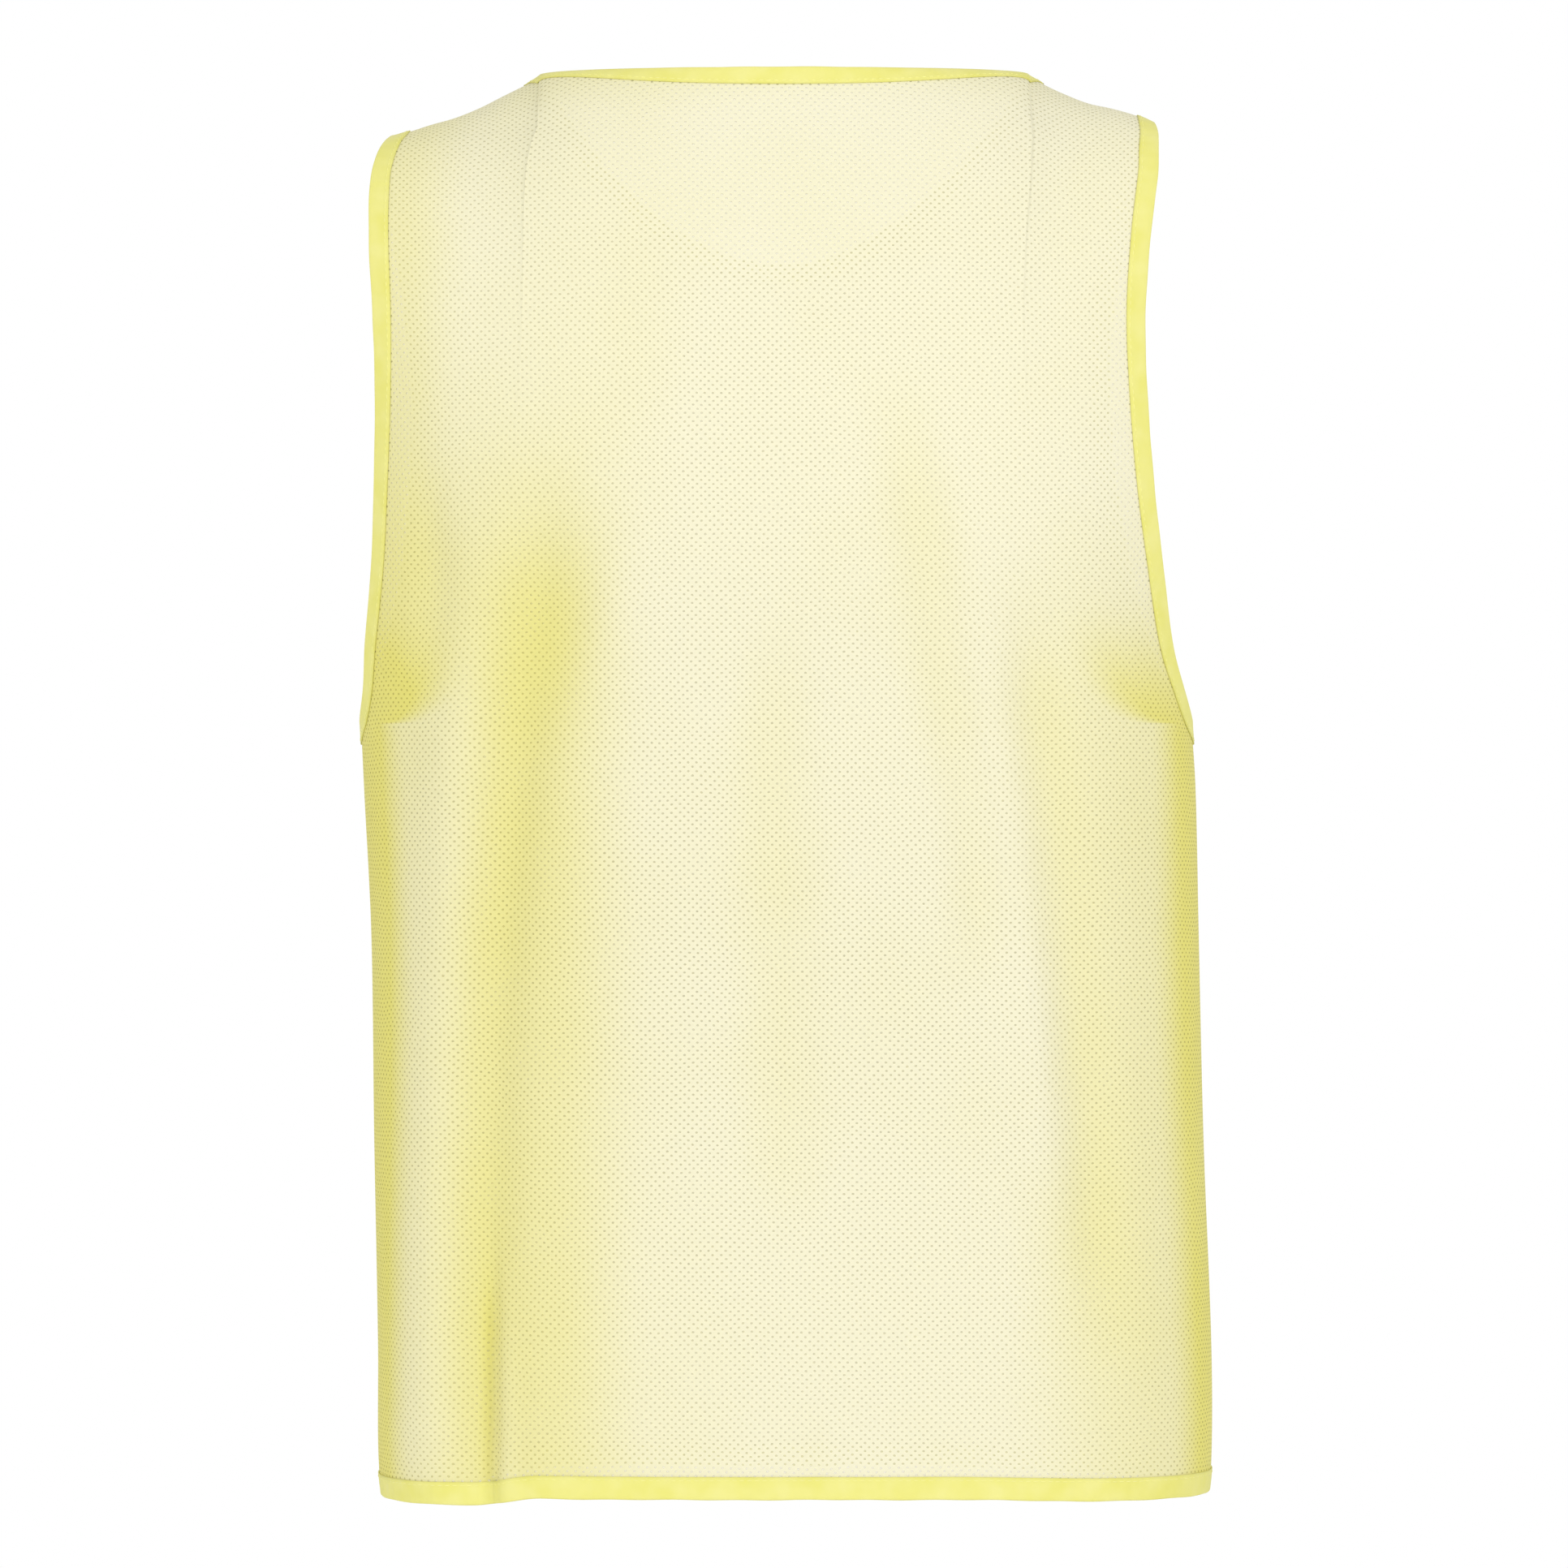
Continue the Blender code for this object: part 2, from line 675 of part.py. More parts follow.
def add_tape(name, stations, closed, turned_from, collection):
    """Make a folded tape; its leaves have the panel's own triangles, turned from a station on."""
    count = len(stations)
    points = []
    for i, station in enumerate(stations):
        before = stations[i - 1] if closed or i else station
        after = stations[(i + 1) % count] if closed or i < count - 1 else station
        points += tape_section(station, before, after)
    width = len(points) // count
    faces = []
    for i in range(count if closed else count - 1):
        low = i * width
        high = (i + 1) % count * width
        for k in range(width - 1):
            quad = (low + k, low + k + 1, high + k + 1, high + k)
            if k not in (0, width - 2):
                faces.append(quad)
                continue
            # The panel's diagonal runs from the edge of one station to the inside of the next
            from_edge = (k == 0) != (i >= turned_from)
            if from_edge:
                faces += [(quad[0], quad[1], quad[3]), (quad[1], quad[2], quad[3])]
            else:
                faces += [(quad[0], quad[1], quad[2]), (quad[0], quad[2], quad[3])]
    return add_shell(name, points, faces, TAPE, 0.0, BINDING_TAPE, collection)


def build():
    """Clear the scene and build every piece of the bib."""
    for old in list(bpy.data.objects):
        bpy.data.objects.remove(old, do_unlink=True)
    bib = bpy.data.collections.new("training_bib")
    bpy.context.scene.collection.children.link(bib)

    tapes = {}
    for facing, name in ((BACK, "back"), (FRONT, "front")):
        panel = Panel(facing)
        lines = panel.all_tapes()
        spots, faces = panel.mesh(lines)
        points = [spot.point for spot in spots]
        add_shell(name + "_panel", points, faces, CLOTH, -1.0, MESH_CLOTH, bib)
        outwards = coarse_outwards(spots, faces)
        tapes[facing] = {key: tape_stations(line, outwards) for key, line in lines.items()}
        hem = tapes[facing]["hem"]
        add_tape("hem_binding_" + name, hem, False, len(hem), bib)
    for tape, name in (
        ("neck", "neck_binding"),
        ("left", "armhole_binding_left"),
        ("right", "armhole_binding_right"),
    ):
        stations, turned_from = join_ring(tapes[BACK][tape], tapes[FRONT][tape])
        add_tape(name, stations, True, turned_from, bib)


build()
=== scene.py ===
"""Dressed model of a training bib: fine mesh cloth with folded tape round every raw edge.

The bib is filled out as it is worn, with its back towards -Y. Each panel starts as a flat grid of
cloth that is laid on the garment's form, and keeps its place on the flat cut as its UV map, in
metres. Every tape is a strip folded over the panels' edges, sewn down with a row of stitches.
"""

import logging
import math
from dataclasses import dataclass, field
from enum import Enum
from typing import Sequence

import bpy
import numpy as np
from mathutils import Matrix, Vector
from mathutils.bvhtree import BVHTree
from mathutils.geometry import barycentric_transform


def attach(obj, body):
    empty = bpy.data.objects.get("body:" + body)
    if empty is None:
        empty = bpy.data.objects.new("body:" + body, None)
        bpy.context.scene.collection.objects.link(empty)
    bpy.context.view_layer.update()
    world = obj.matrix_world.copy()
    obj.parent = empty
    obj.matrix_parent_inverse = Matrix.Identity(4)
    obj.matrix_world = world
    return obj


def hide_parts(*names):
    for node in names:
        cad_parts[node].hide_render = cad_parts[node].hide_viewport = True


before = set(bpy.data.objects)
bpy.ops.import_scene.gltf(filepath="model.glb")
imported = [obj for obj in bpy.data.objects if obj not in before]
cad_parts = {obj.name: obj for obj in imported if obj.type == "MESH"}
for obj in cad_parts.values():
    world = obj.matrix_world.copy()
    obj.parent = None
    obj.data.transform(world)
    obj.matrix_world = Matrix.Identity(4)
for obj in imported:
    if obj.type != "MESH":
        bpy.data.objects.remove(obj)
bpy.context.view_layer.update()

log = logging.getLogger("training_bib")

MM = 0.001
MERGE_DISTANCE = 0.02 * MM
STITCH_WIDTH = 0.45
STITCH_HEIGHT = 0.30
# A wave texture's bands along an axis turn by 20 radians a unit at scale 1
WAVE_RADIANS = 20.0
BODY = "root"


class Facing(Enum):
    """Which side of the wearer a panel covers; the value is its side of the Y axis."""

    BACK = -1
    FRONT = 1


class Hand(Enum):
    """Which side of the picture a piece is on; the value is its side of the X axis."""

    LEFT = -1
    RIGHT = 1


def smooth(value: np.ndarray) -> np.ndarray:
    """Ease values from 0 to 1, flat at both ends."""
    value = np.clip(value, 0.0, 1.0)
    return value * value * (3.0 - 2.0 * value)


@dataclass(frozen=True)
class Profile:
    """Distance of the cloth from the middle plane at the centre back and front, in mm."""

    height: float
    back: float
    front: float


@dataclass(frozen=True)
class Edges:
    """Side edges of the panels at a height, and how far the body goes on past each, in mm."""

    height: float
    left: float
    right: float
    wrap_left: float = 0.0
    wrap_right: float = 0.0


@dataclass(frozen=True)
class Shoulder:
    """Height of each shoulder seam by its distance from the centre, in mm."""

    height: float
    left: float
    right: float


@dataclass(frozen=True)
class Fold:
    """A soft fold: a trough from its top to its foot, or a ridge where the depth is negative."""

    top_x: float
    top_z: float
    foot_x: float
    foot_z: float
    bow: float
    width: float
    depth: float
    fade: float = 90.0

    def reach(self, x: np.ndarray, z: np.ndarray, wider: float = 1.0) -> np.ndarray:
        """How much of the fold's depth is felt at each place, from 0 to 1.

        Args:
            x: distances across.
            z: heights.
            wider: how many times its width the fold is felt over.

        Returns:
            The part of the depth.
        """
        along = (self.top_z - z) / (self.top_z - self.foot_z)
        line = self.top_x + (self.foot_x - self.top_x) * along
        line += self.bow * np.sin(math.pi * np.clip(along, 0.0, 1.0))
        held = smooth((self.top_z - z) / self.fade) * smooth((z - self.foot_z) / self.fade)
        return held * np.exp(-(((x - line) / (wider * self.width)) ** 2))


def read_table(rows: Sequence, column: str, at: np.ndarray) -> np.ndarray:
    """Read a column of a table on a smooth curve through its rows.

    Args:
        rows: the table's rows, in rising order of height.
        column: the name of the column.
        at: the heights to read at.

    Returns:
        The column's values there.
    """
    keys = np.array([row.height for row in rows])
    values = np.array([getattr(row, column) for row in rows])
    at = np.clip(at, keys[0], keys[-1])
    span = np.clip(np.searchsorted(keys, at, side="right") - 1, 0, len(keys) - 2)
    low = np.maximum(np.arange(len(keys)) - 1, 0)
    high = np.minimum(np.arange(len(keys)) + 1, len(keys) - 1)
    slopes = (values[high] - values[low]) / (keys[high] - keys[low])
    step = keys[span + 1] - keys[span]
    t = (at - keys[span]) / step
    start = (2 * t**3 - 3 * t**2 + 1) * values[span] + (t**3 - 2 * t**2 + t) * step * slopes[span]
    end = (3 * t**2 - 2 * t**3) * values[span + 1] + (t**3 - t**2) * step * slopes[span + 1]
    return start + end


@dataclass(frozen=True)
class BibForm:
    """The form of the filled-out bib, in mm from the shoulder line."""

    neck_half_width: float = 119.0
    neck_height: float = 16.5
    back_neck_depth: float = 68.0
    front_neck_depth: float = 90.0
    front_neck_drop: float = 86.0
    underarm: float = -298.0
    hem: float = -667.0
    square_hem: float = 3.0
    square_chest: float = 2.6
    front_scoop: float = 12.0
    hem_drops: tuple = ((4.2, 116.0, 34.0), (2.2, 70.0, 110.0))
    seam_gap: float = 0.3
    tip_roundness: float = 0.8
    profiles: tuple = (
        Profile(-680.0, 104.0, 106.0),
        Profile(-600.0, 103.0, 107.0),
        Profile(-450.0, 102.0, 108.0),
        Profile(-300.0, 113.0, 111.0),
        Profile(-200.0, 124.0, 114.0),
        Profile(-120.0, 121.0, 110.0),
        Profile(-30.0, 110.0, 100.0),
        Profile(30.0, 102.0, 90.0),
    )
    flanks: tuple = (
        Edges(-680.0, 194.5, 205.5),
        Edges(-655.0, 197.2, 208.0),
        Edges(-600.0, 197.5, 208.0),
        Edges(-500.0, 199.5, 204.3),
        Edges(-400.0, 201.0, 202.0),
        Edges(-330.0, 204.5, 200.5),
        Edges(-298.0, 206.0, 198.5),
    )
    armholes: tuple = (
        Edges(-298.0, 206.0, 198.5, 0.0, 0.0),
        Edges(-282.0, 203.0, 193.0, 0.024, 0.030),
        Edges(-261.0, 201.6, 186.8, 0.043, 0.063),
        Edges(-222.0, 198.0, 181.2, 0.065, 0.12),
        Edges(-182.0, 196.4, 176.3, 0.085, 0.17),
        Edges(-143.0, 195.7, 173.4, 0.11, 0.20),
        Edges(-103.0, 196.6, 172.3, 0.16, 0.22),
        Edges(-63.0, 198.8, 175.4, 0.20, 0.23),
        Edges(-35.0, 198.6, 179.2, 0.22, 0.23),
        Edges(-24.0, 196.3, 179.9, 0.22, 0.23),
        Edges(-16.0, 193.2, 180.4, 0.22, 0.22),
        Edges(-12.0, 190.5, 180.4, 0.22, 0.22),
        Edges(-5.0, 190.5, 179.5, 0.22, 0.22),
    )
    shoulders: tuple = (
        Shoulder(119.0, 17.8, 18.2),
        Shoulder(124.0, 14.6, 15.4),
        Shoulder(129.0, 12.1, 12.7),
        Shoulder(137.0, 8.1, 9.0),
        Shoulder(148.0, 2.4, 4.6),
        Shoulder(160.0, -2.6, 1.8),
        Shoulder(172.0, -6.1, -1.8),
        Shoulder(181.0, -9.0, -6.0),
        Shoulder(190.0, -11.8, -12.0),
    )

    def side(self, hand: Hand) -> str:
        """Name of a hand's columns in the tables."""
        return "left" if hand is Hand.LEFT else "right"

    def tip_out(self, hand: Hand) -> float:
        """Distance of the shoulder tip from the centre line."""
        return getattr(self.armholes[-1], self.side(hand))

    def seam_height(self, hand: Hand, out: np.ndarray) -> np.ndarray:
        """Height of the shoulder seam at a distance from the centre line."""
        return read_table(self.shoulders, self.side(hand), out)

    def edge_out(self, facing: Facing, hand: Hand, z: np.ndarray) -> np.ndarray:
        """Distance of a panel's side edge from the centre line: side seam, then armhole."""
        side = self.side(hand)
        flank = read_table(self.flanks, side, z)
        armhole = read_table(self.armholes, side, z)
        if facing is Facing.FRONT:
            tip_height = self.seam_height(hand, np.array(self.tip_out(hand)))
            up = np.clip((z - self.underarm) / (tip_height - self.underarm), 0.0, 1.0)
            armhole = armhole - self.front_scoop * np.maximum(np.sin(math.pi * up), 0.0) ** 0.8
        return np.where(z <= self.underarm, flank, armhole)

    def wrap(self, hand: Hand, z: np.ndarray) -> np.ndarray:
        """How far the body goes on past the armhole's edge, as a part of its distance."""
        past = read_table(self.armholes, "wrap_" + self.side(hand), z)
        return np.where(z <= self.underarm, 0.0, past)

    def squareness(self, z: np.ndarray) -> np.ndarray:
        """Exponent of the body's section at a height; 2 is an ellipse and more is squarer."""
        down = smooth((self.underarm - z) / (self.underarm - self.hem))
        return self.square_chest + (self.square_hem - self.square_chest) * down

    def edge_angle(self, hand: Hand, z: np.ndarray) -> np.ndarray:
        """Angle of the panel's side edge on the body's section, from its middle."""
        ratio = (1.0 / (1.0 + self.wrap(hand, z))) ** (self.squareness(z) / 2)
        return np.arcsin(np.minimum(ratio, 1.0))

    def section(self, facing: Facing, hand: Hand, angle: np.ndarray, z: np.ndarray) -> tuple:
        """Distance out and depth of the body's section at an angle and a height."""
        power = self.squareness(z)
        width = self.edge_out(facing, hand, z) * (1.0 + self.wrap(hand, z))
        reach = read_table(self.profiles, facing.name.lower(), z)
        out = width * np.sin(angle) ** (2.0 / power)
        inward = np.maximum(np.cos(angle), 0.0) ** (2.0 / power)
        depth = facing.value * np.maximum(reach * inward, self.seam_gap / 2)
        return out, depth

    def top_edge(self, facing: Facing, hand: Hand, out: np.ndarray) -> tuple:
        """Depth and height of a panel's top edge: the neckline, then the shoulder seam."""
        part = np.minimum(out / self.neck_half_width, 1.0)
        round_part = np.sqrt(np.maximum(1.0 - part**2, 0.0))
        neck_point = self.seam_height(hand, np.array(self.neck_half_width))
        level = self.neck_height + (neck_point - self.neck_height) * part**2
        if facing is Facing.BACK:
            reach, neckline = self.back_neck_depth, level
        else:
            reach, neckline = self.front_neck_depth, level - self.front_neck_drop * round_part**2
        on_neck = out < self.neck_half_width - 0.001
        depth = facing.value * np.maximum(reach * round_part, self.seam_gap / 2)
        return depth, np.where(on_neck, neckline, self.seam_height(hand, out))

    def hem_height(self, hand: Hand, out: np.ndarray) -> np.ndarray:
        """Height of the hem, which hangs lower towards each side."""
        drop, start, run = self.hem_drops[0 if hand is Hand.LEFT else 1]
        return self.hem - drop * smooth((out - start) / run)


@dataclass(frozen=True)
class SideShading:
    """A side of a panel painted a darker yellow outwards and downwards, in mm; on the left it is painted
    shade, the side turned away from the light.
    """

    hand: Hand
    amount: float
    start: float
    run: float
    top: float = 1000.0
    fade: float = 1.0

    def at(self, x: np.ndarray, z: np.ndarray) -> np.ndarray:
        """How much painted shade is added at each place."""
        outwards = smooth((self.hand.value * x - self.start) / self.run)
        return self.amount * outwards * smooth((self.top - z) / self.fade)


@dataclass(frozen=True)
class Shading:
    """Where a darker yellow is painted on the cloth, as parts of the way from pale to fully shaded;
    places in mm. It is painted shade in the folds and on the left side away from the light, paler on
    ridges, and darker towards the side seams and along the top.
    """

    sides: tuple = (
        SideShading(Hand.LEFT, 0.40, 62.0, 50.0, -95.0, 190.0),
        SideShading(Hand.RIGHT, 0.38, 95.0, 85.0, -150.0, 190.0),
        SideShading(Hand.LEFT, 0.10, 20.0, 60.0),
    )
    seam: float = 0.62
    seam_band: float = 46.0
    seam_run: float = 30.0
    seam_top: float = -235.0
    seam_fade: float = 70.0
    # Painted shade along the left edge, turned away from the light
    left_edge: float = 0.3
    left_band: float = 16.0
    left_run: float = 40.0
    shoulder: float = 0.16
    # Painted shade in the folds' troughs, a paler painted highlight on ridges
    fold: float = 0.10
    fold_wider: float = 1.3


@dataclass
class PanelSheet:
    """One panel of mesh cloth, laid on the form from a flat grid, with its creases."""

    facing: Facing
    folds: tuple
    form: BibForm = field(default_factory=BibForm)
    shading: Shading = field(default_factory=Shading)
    neck_columns: int = 58
    shoulder_columns: int = 58
    lower_rows: int = 64
    upper_rows: int = 96
    thickness: float = 0.5
    seam_calm: float = 60.0
    ease_share: float = 0.09
    back_turn: float = 4.0
    front_turn: float = 3.0

    def half(self, hand: Hand) -> tuple[np.ndarray, np.ndarray]:
        """Lay one half of the panel on the form.

        Args:
            hand: the half to lay.

        Returns:
            Points in space and places on the flat cut, rows from the hem up, columns outwards.
        """
        form = self.form
        last_height = np.array(form.armholes[-1].height)
        tip_angle = float(form.edge_angle(hand, last_height))
        tip = form.tip_out(hand)
        power = form.square_chest
        neck = math.asin((form.neck_half_width / tip) ** (power / 2) * math.sin(tip_angle))
        neck /= tip_angle
        even = np.linspace(0.0, 1.0, self.neck_columns + 1)
        inner = neck * (0.85 * np.sin(even * math.pi / 2) + 0.15 * even)
        share = np.concatenate([inner, np.linspace(neck, 1.0, self.shoulder_columns + 1)[1:]])
        top_out = tip * (np.sin(share * tip_angle) / math.sin(tip_angle)) ** (2.0 / power)
        top_depth, top_z = form.top_edge(self.facing, hand, top_out)

        angle = share * math.pi / 2
        hem_out, _ = form.section(self.facing, hand, angle, np.full_like(share, form.hem))
        hem = form.hem_height(hand, hem_out)
        rise = (np.arange(self.lower_rows) / self.lower_rows)[:, None]
        low_z = hem + (form.underarm - hem) * rise
        low_out, low_depth = form.section(self.facing, hand, angle, low_z)

        rise = (1.0 - (1.0 - np.linspace(0.0, 1.0, self.upper_rows + 1) ** 2) ** 2.3)[:, None]
        z = form.underarm + (top_z - form.underarm) * rise
        high_out, plain = form.section(self.facing, hand, share * form.edge_angle(hand, z), z)
        past = smooth((top_out - form.neck_half_width) / (tip - form.neck_half_width))
        on_neck = np.minimum(top_out / form.neck_half_width, 1.0)
        roundness = 1.0 + on_neck**2 + form.tip_roundness * past
        turn = self.back_turn if self.facing is Facing.BACK else self.front_turn
        lean = (1.0 - rise**turn) ** (1.0 / roundness)
        high_depth = self.eased(top_depth + (plain - top_depth) * lean, share, rise[:, 0])

        out = np.vstack([low_out, high_out])
        body = np.vstack([low_depth, plain])
        depth = np.vstack([low_depth, high_depth])
        height = np.vstack([low_z, z])
        across = np.zeros_like(out)
        across[:, 1:] = np.cumsum(np.hypot(np.diff(out), np.diff(body)), axis=1)
        up = np.zeros_like(out)
        up[1:] = np.cumsum(np.hypot(np.diff(height, axis=0), np.diff(depth - body, axis=0)), axis=0)
        points = np.stack([hand.value * out, depth, height], axis=-1)
        flat = np.stack([hand.value * across, up + hem], axis=-1)
        outward = self.level_outward(hand, out, body, share)
        return points - outward * self.push(points)[..., None], flat

    def eased(self, depth: np.ndarray, share: np.ndarray, rise: np.ndarray) -> np.ndarray:
        """Ease the cloth below the neck point, where its top edge turns a corner.

        Args:
            depth: depths of the panel's upper half.
            share: how far across each column is, from 0 to 1.
            rise: how far up each row is, from 0 to 1.

        Returns:
            The eased depths, with the top edge and the row at the underarm kept.
        """
        soft = smooth((1.0 - rise) / 0.12) * smooth(rise / 0.4)
        # Even steps of 0.005 across, with a margin on both sides to spread into
        even = np.linspace(-0.3, 1.3, 321)
        spread = np.exp(-((np.arange(-30, 31) * 0.005 / self.ease_share) ** 2))
        spread /= spread.sum()
        for row, part in zip(depth, soft):
            plain = np.interp(np.abs(even), share, row)
            past = even > 1.0
            plain[past] = 2.0 * row[-1] - np.interp(2.0 - even[past], share, row)
            blurred = np.convolve(plain, spread, mode="same")
            row += part * np.interp(share, even, blurred - plain)
        return depth

    def level_outward(
        self, hand: Hand, out: np.ndarray, depth: np.ndarray, share: np.ndarray
    ) -> np.ndarray:
        """Level outward direction of the plain body at every point."""
        along_x = np.gradient(out, share, axis=1)
        along_y = np.gradient(depth, share, axis=1)
        length = np.maximum(np.hypot(along_x, along_y), 1e-6)
        x = hand.value * np.abs(along_y) / length
        y = self.facing.value * np.abs(along_x) / length
        return np.stack([x, y, np.zeros_like(x)], axis=-1)

    def push(self, points: np.ndarray) -> np.ndarray:
        """How far the folds push the cloth inwards."""
        x, y, z = points[..., 0], points[..., 1], points[..., 2]
        push = sum(fold.depth * fold.reach(x, z) for fold in self.folds)
        return push * smooth(np.abs(y) / self.seam_calm)

    def rows(self) -> tuple[np.ndarray, np.ndarray]:
        """Points and flat places of the whole panel, each row from the left to the right."""
        left, flat_left = self.half(Hand.LEFT)
        right, flat_right = self.half(Hand.RIGHT)
        points = np.concatenate([left[:, :0:-1], right], axis=1)
        return points, np.concatenate([flat_left[:, :0:-1], flat_right], axis=1)

    def build(self, name: str, finish: "Finish") -> bpy.types.Object:
        """Lay the panel and give its cloth a thickness.

        Args:
            name: the piece's name.
            finish: the cloth's finish.

        Returns:
            The finished piece.
        """
        points, flat = self.rows()
        count_up, count_across = points.shape[:2]
        piece = flat_grid(name, count_across - 1, count_up - 1)
        place_grid(piece, points, flat)
        # Painted shade, stored on the cloth's points
        store_painted_shading(piece, self.painted_shading(points, flat))
        if self.facing is Facing.FRONT:
            flip_faces(piece)
        thicken(piece, self.thickness, -1.0)
        return dress(piece, finish)

    def painted_shading(self, points: np.ndarray, flat: np.ndarray) -> np.ndarray:
        """Painted shade: how far towards a darker yellow the cloth is painted, from 0 in the middle to 1
        at the side seams, darker in the folds and on the left side away from the light, paler on ridges.
        """
        x, z = points[..., 0], points[..., 2]
        from_edge = np.minimum(flat[..., 0] - flat[:, :1, 0], flat[:, -1:, 0] - flat[..., 0])
        look = self.shading
        # Painted: a darker yellow near the side seams from the underarm down, for the cloth seen edge-on
        # where it rounds away
        seam_band = 1.0 - smooth((from_edge - look.seam_band) / look.seam_run)
        left_band = 1.0 - smooth((from_edge - look.left_band) / look.left_run)
        shaded = look.seam * seam_band * smooth((look.seam_top - z) / look.seam_fade)
        # Painted shade along the left edge, the side turned away from the light
        shaded += look.left_edge * left_band * smooth(-x / 100.0)
        # Painted: darker down both sides below the chest; on the left this is painted shade, away from
        # the light
        shaded += sum(side.at(x, z) for side in look.sides)
        # Painted shade in each fold's trough, and a paler painted highlight along each ridge
        for fold in self.folds:
            shade = look.fold * math.copysign(math.sqrt(abs(fold.depth)), fold.depth)
            shaded += shade * fold.reach(x, z, look.fold_wider)
        # Darker yellow painted along the top edge, at the neck and shoulder seams
        shaded += look.shoulder * smooth((z + 8.0) / 30.0)
        return np.clip(shaded, 0.0, 1.0)


class Pattern:
    """A panel's fine surface, read by a place on its flat cut, in mm."""

    def __init__(self, sheet: PanelSheet) -> None:
        self.sheet = sheet
        points, flat = sheet.rows()
        self.points = points
        self.flat = flat
        self.outward = self.grid_outward(points)
        width = points.shape[1]
        self.corners = []
        for j in range(points.shape[0] - 1):
            for i in range(width - 1):
                a = j * width + i
                self.corners += [(a, a + 1, a + width + 1), (a, a + width + 1, a + width)]
        self.flats = [Vector((u, v, 0.0)) for u, v in flat.reshape(-1, 2)]
        self.places = [Vector(p) for p in points.reshape(-1, 3)]
        self.outs = [Vector(n) for n in self.outward.reshape(-1, 3)]
        self.tree = BVHTree.FromPolygons(self.flats, self.corners)

    def grid_outward(self, points: np.ndarray) -> np.ndarray:
        """Outward directions of the cloth at its points, as the mean of the faces round each."""
        across = np.diff(points, axis=1)
        up = np.diff(points, axis=0)
        faces = np.cross(across[:-1] + across[1:], up[:, :-1] + up[:, 1:])
        total = np.zeros_like(points)
        for j in (0, 1):
            for i in (0, 1):
                total[j:total.shape[0] - 1 + j, i:total.shape[1] - 1 + i] += faces
        total *= -self.sheet.facing.value
        return total / np.maximum(np.linalg.norm(total, axis=-1, keepdims=True), 1e-9)

    def read(self, u: float, v: float) -> tuple[Vector, Vector]:
        """Point and outward direction at a place on the flat cut."""
        hit, _, face, _ = self.tree.find_nearest(Vector((u, v, 0.0)))
        corners = self.corners[face]
        source = [self.flats[k] for k in corners]
        point = barycentric_transform(hit, *source, *[self.places[k] for k in corners])
        outward = barycentric_transform(hit, *source, *[self.outs[k] for k in corners])
        return point, outward.normalized()


@dataclass
class Line:
    """A line along a panel's border at even steps, with what it needs for a tape."""

    pattern: Pattern
    rows: slice
    columns: slice
    turn: int
    step: float = 3.0

    def marks(self) -> tuple[np.ndarray, np.ndarray]:
        """Places on the flat cut at even steps, and the direction inwards at each."""
        flat = self.pattern.flat[self.rows, self.columns].reshape(-1, 2)
        points = self.pattern.points[self.rows, self.columns].reshape(-1, 3)
        reached = np.concatenate([[0.0], np.cumsum(np.linalg.norm(np.diff(points, axis=0), axis=1))])
        count = max(round(reached[-1] / self.step), 2)
        even = np.linspace(0.0, reached[-1], count + 1)
        places = np.stack([np.interp(even, reached, flat[:, k]) for k in (0, 1)], axis=1)
        along = np.gradient(places, axis=0)
        along /= np.maximum(np.linalg.norm(along, axis=1, keepdims=True), 1e-9)
        return places, np.stack([-along[:, 1], along[:, 0]], axis=1) * self.turn

    def stations(self, depths: Sequence[float]) -> list:
        """For each mark, the points and outward directions at several distances inwards."""
        places, inward = self.marks()
        stations = []
        for place, way in zip(places, inward):
            edge, _ = self.pattern.read(*place)
            probe, _ = self.pattern.read(*(place + way * depths[0]))
            stretch = depths[0] / max((probe - edge).length, 0.5 * depths[0])
            stations.append([self.pattern.read(*(place + way * d * stretch)) for d in depths])
        return stations


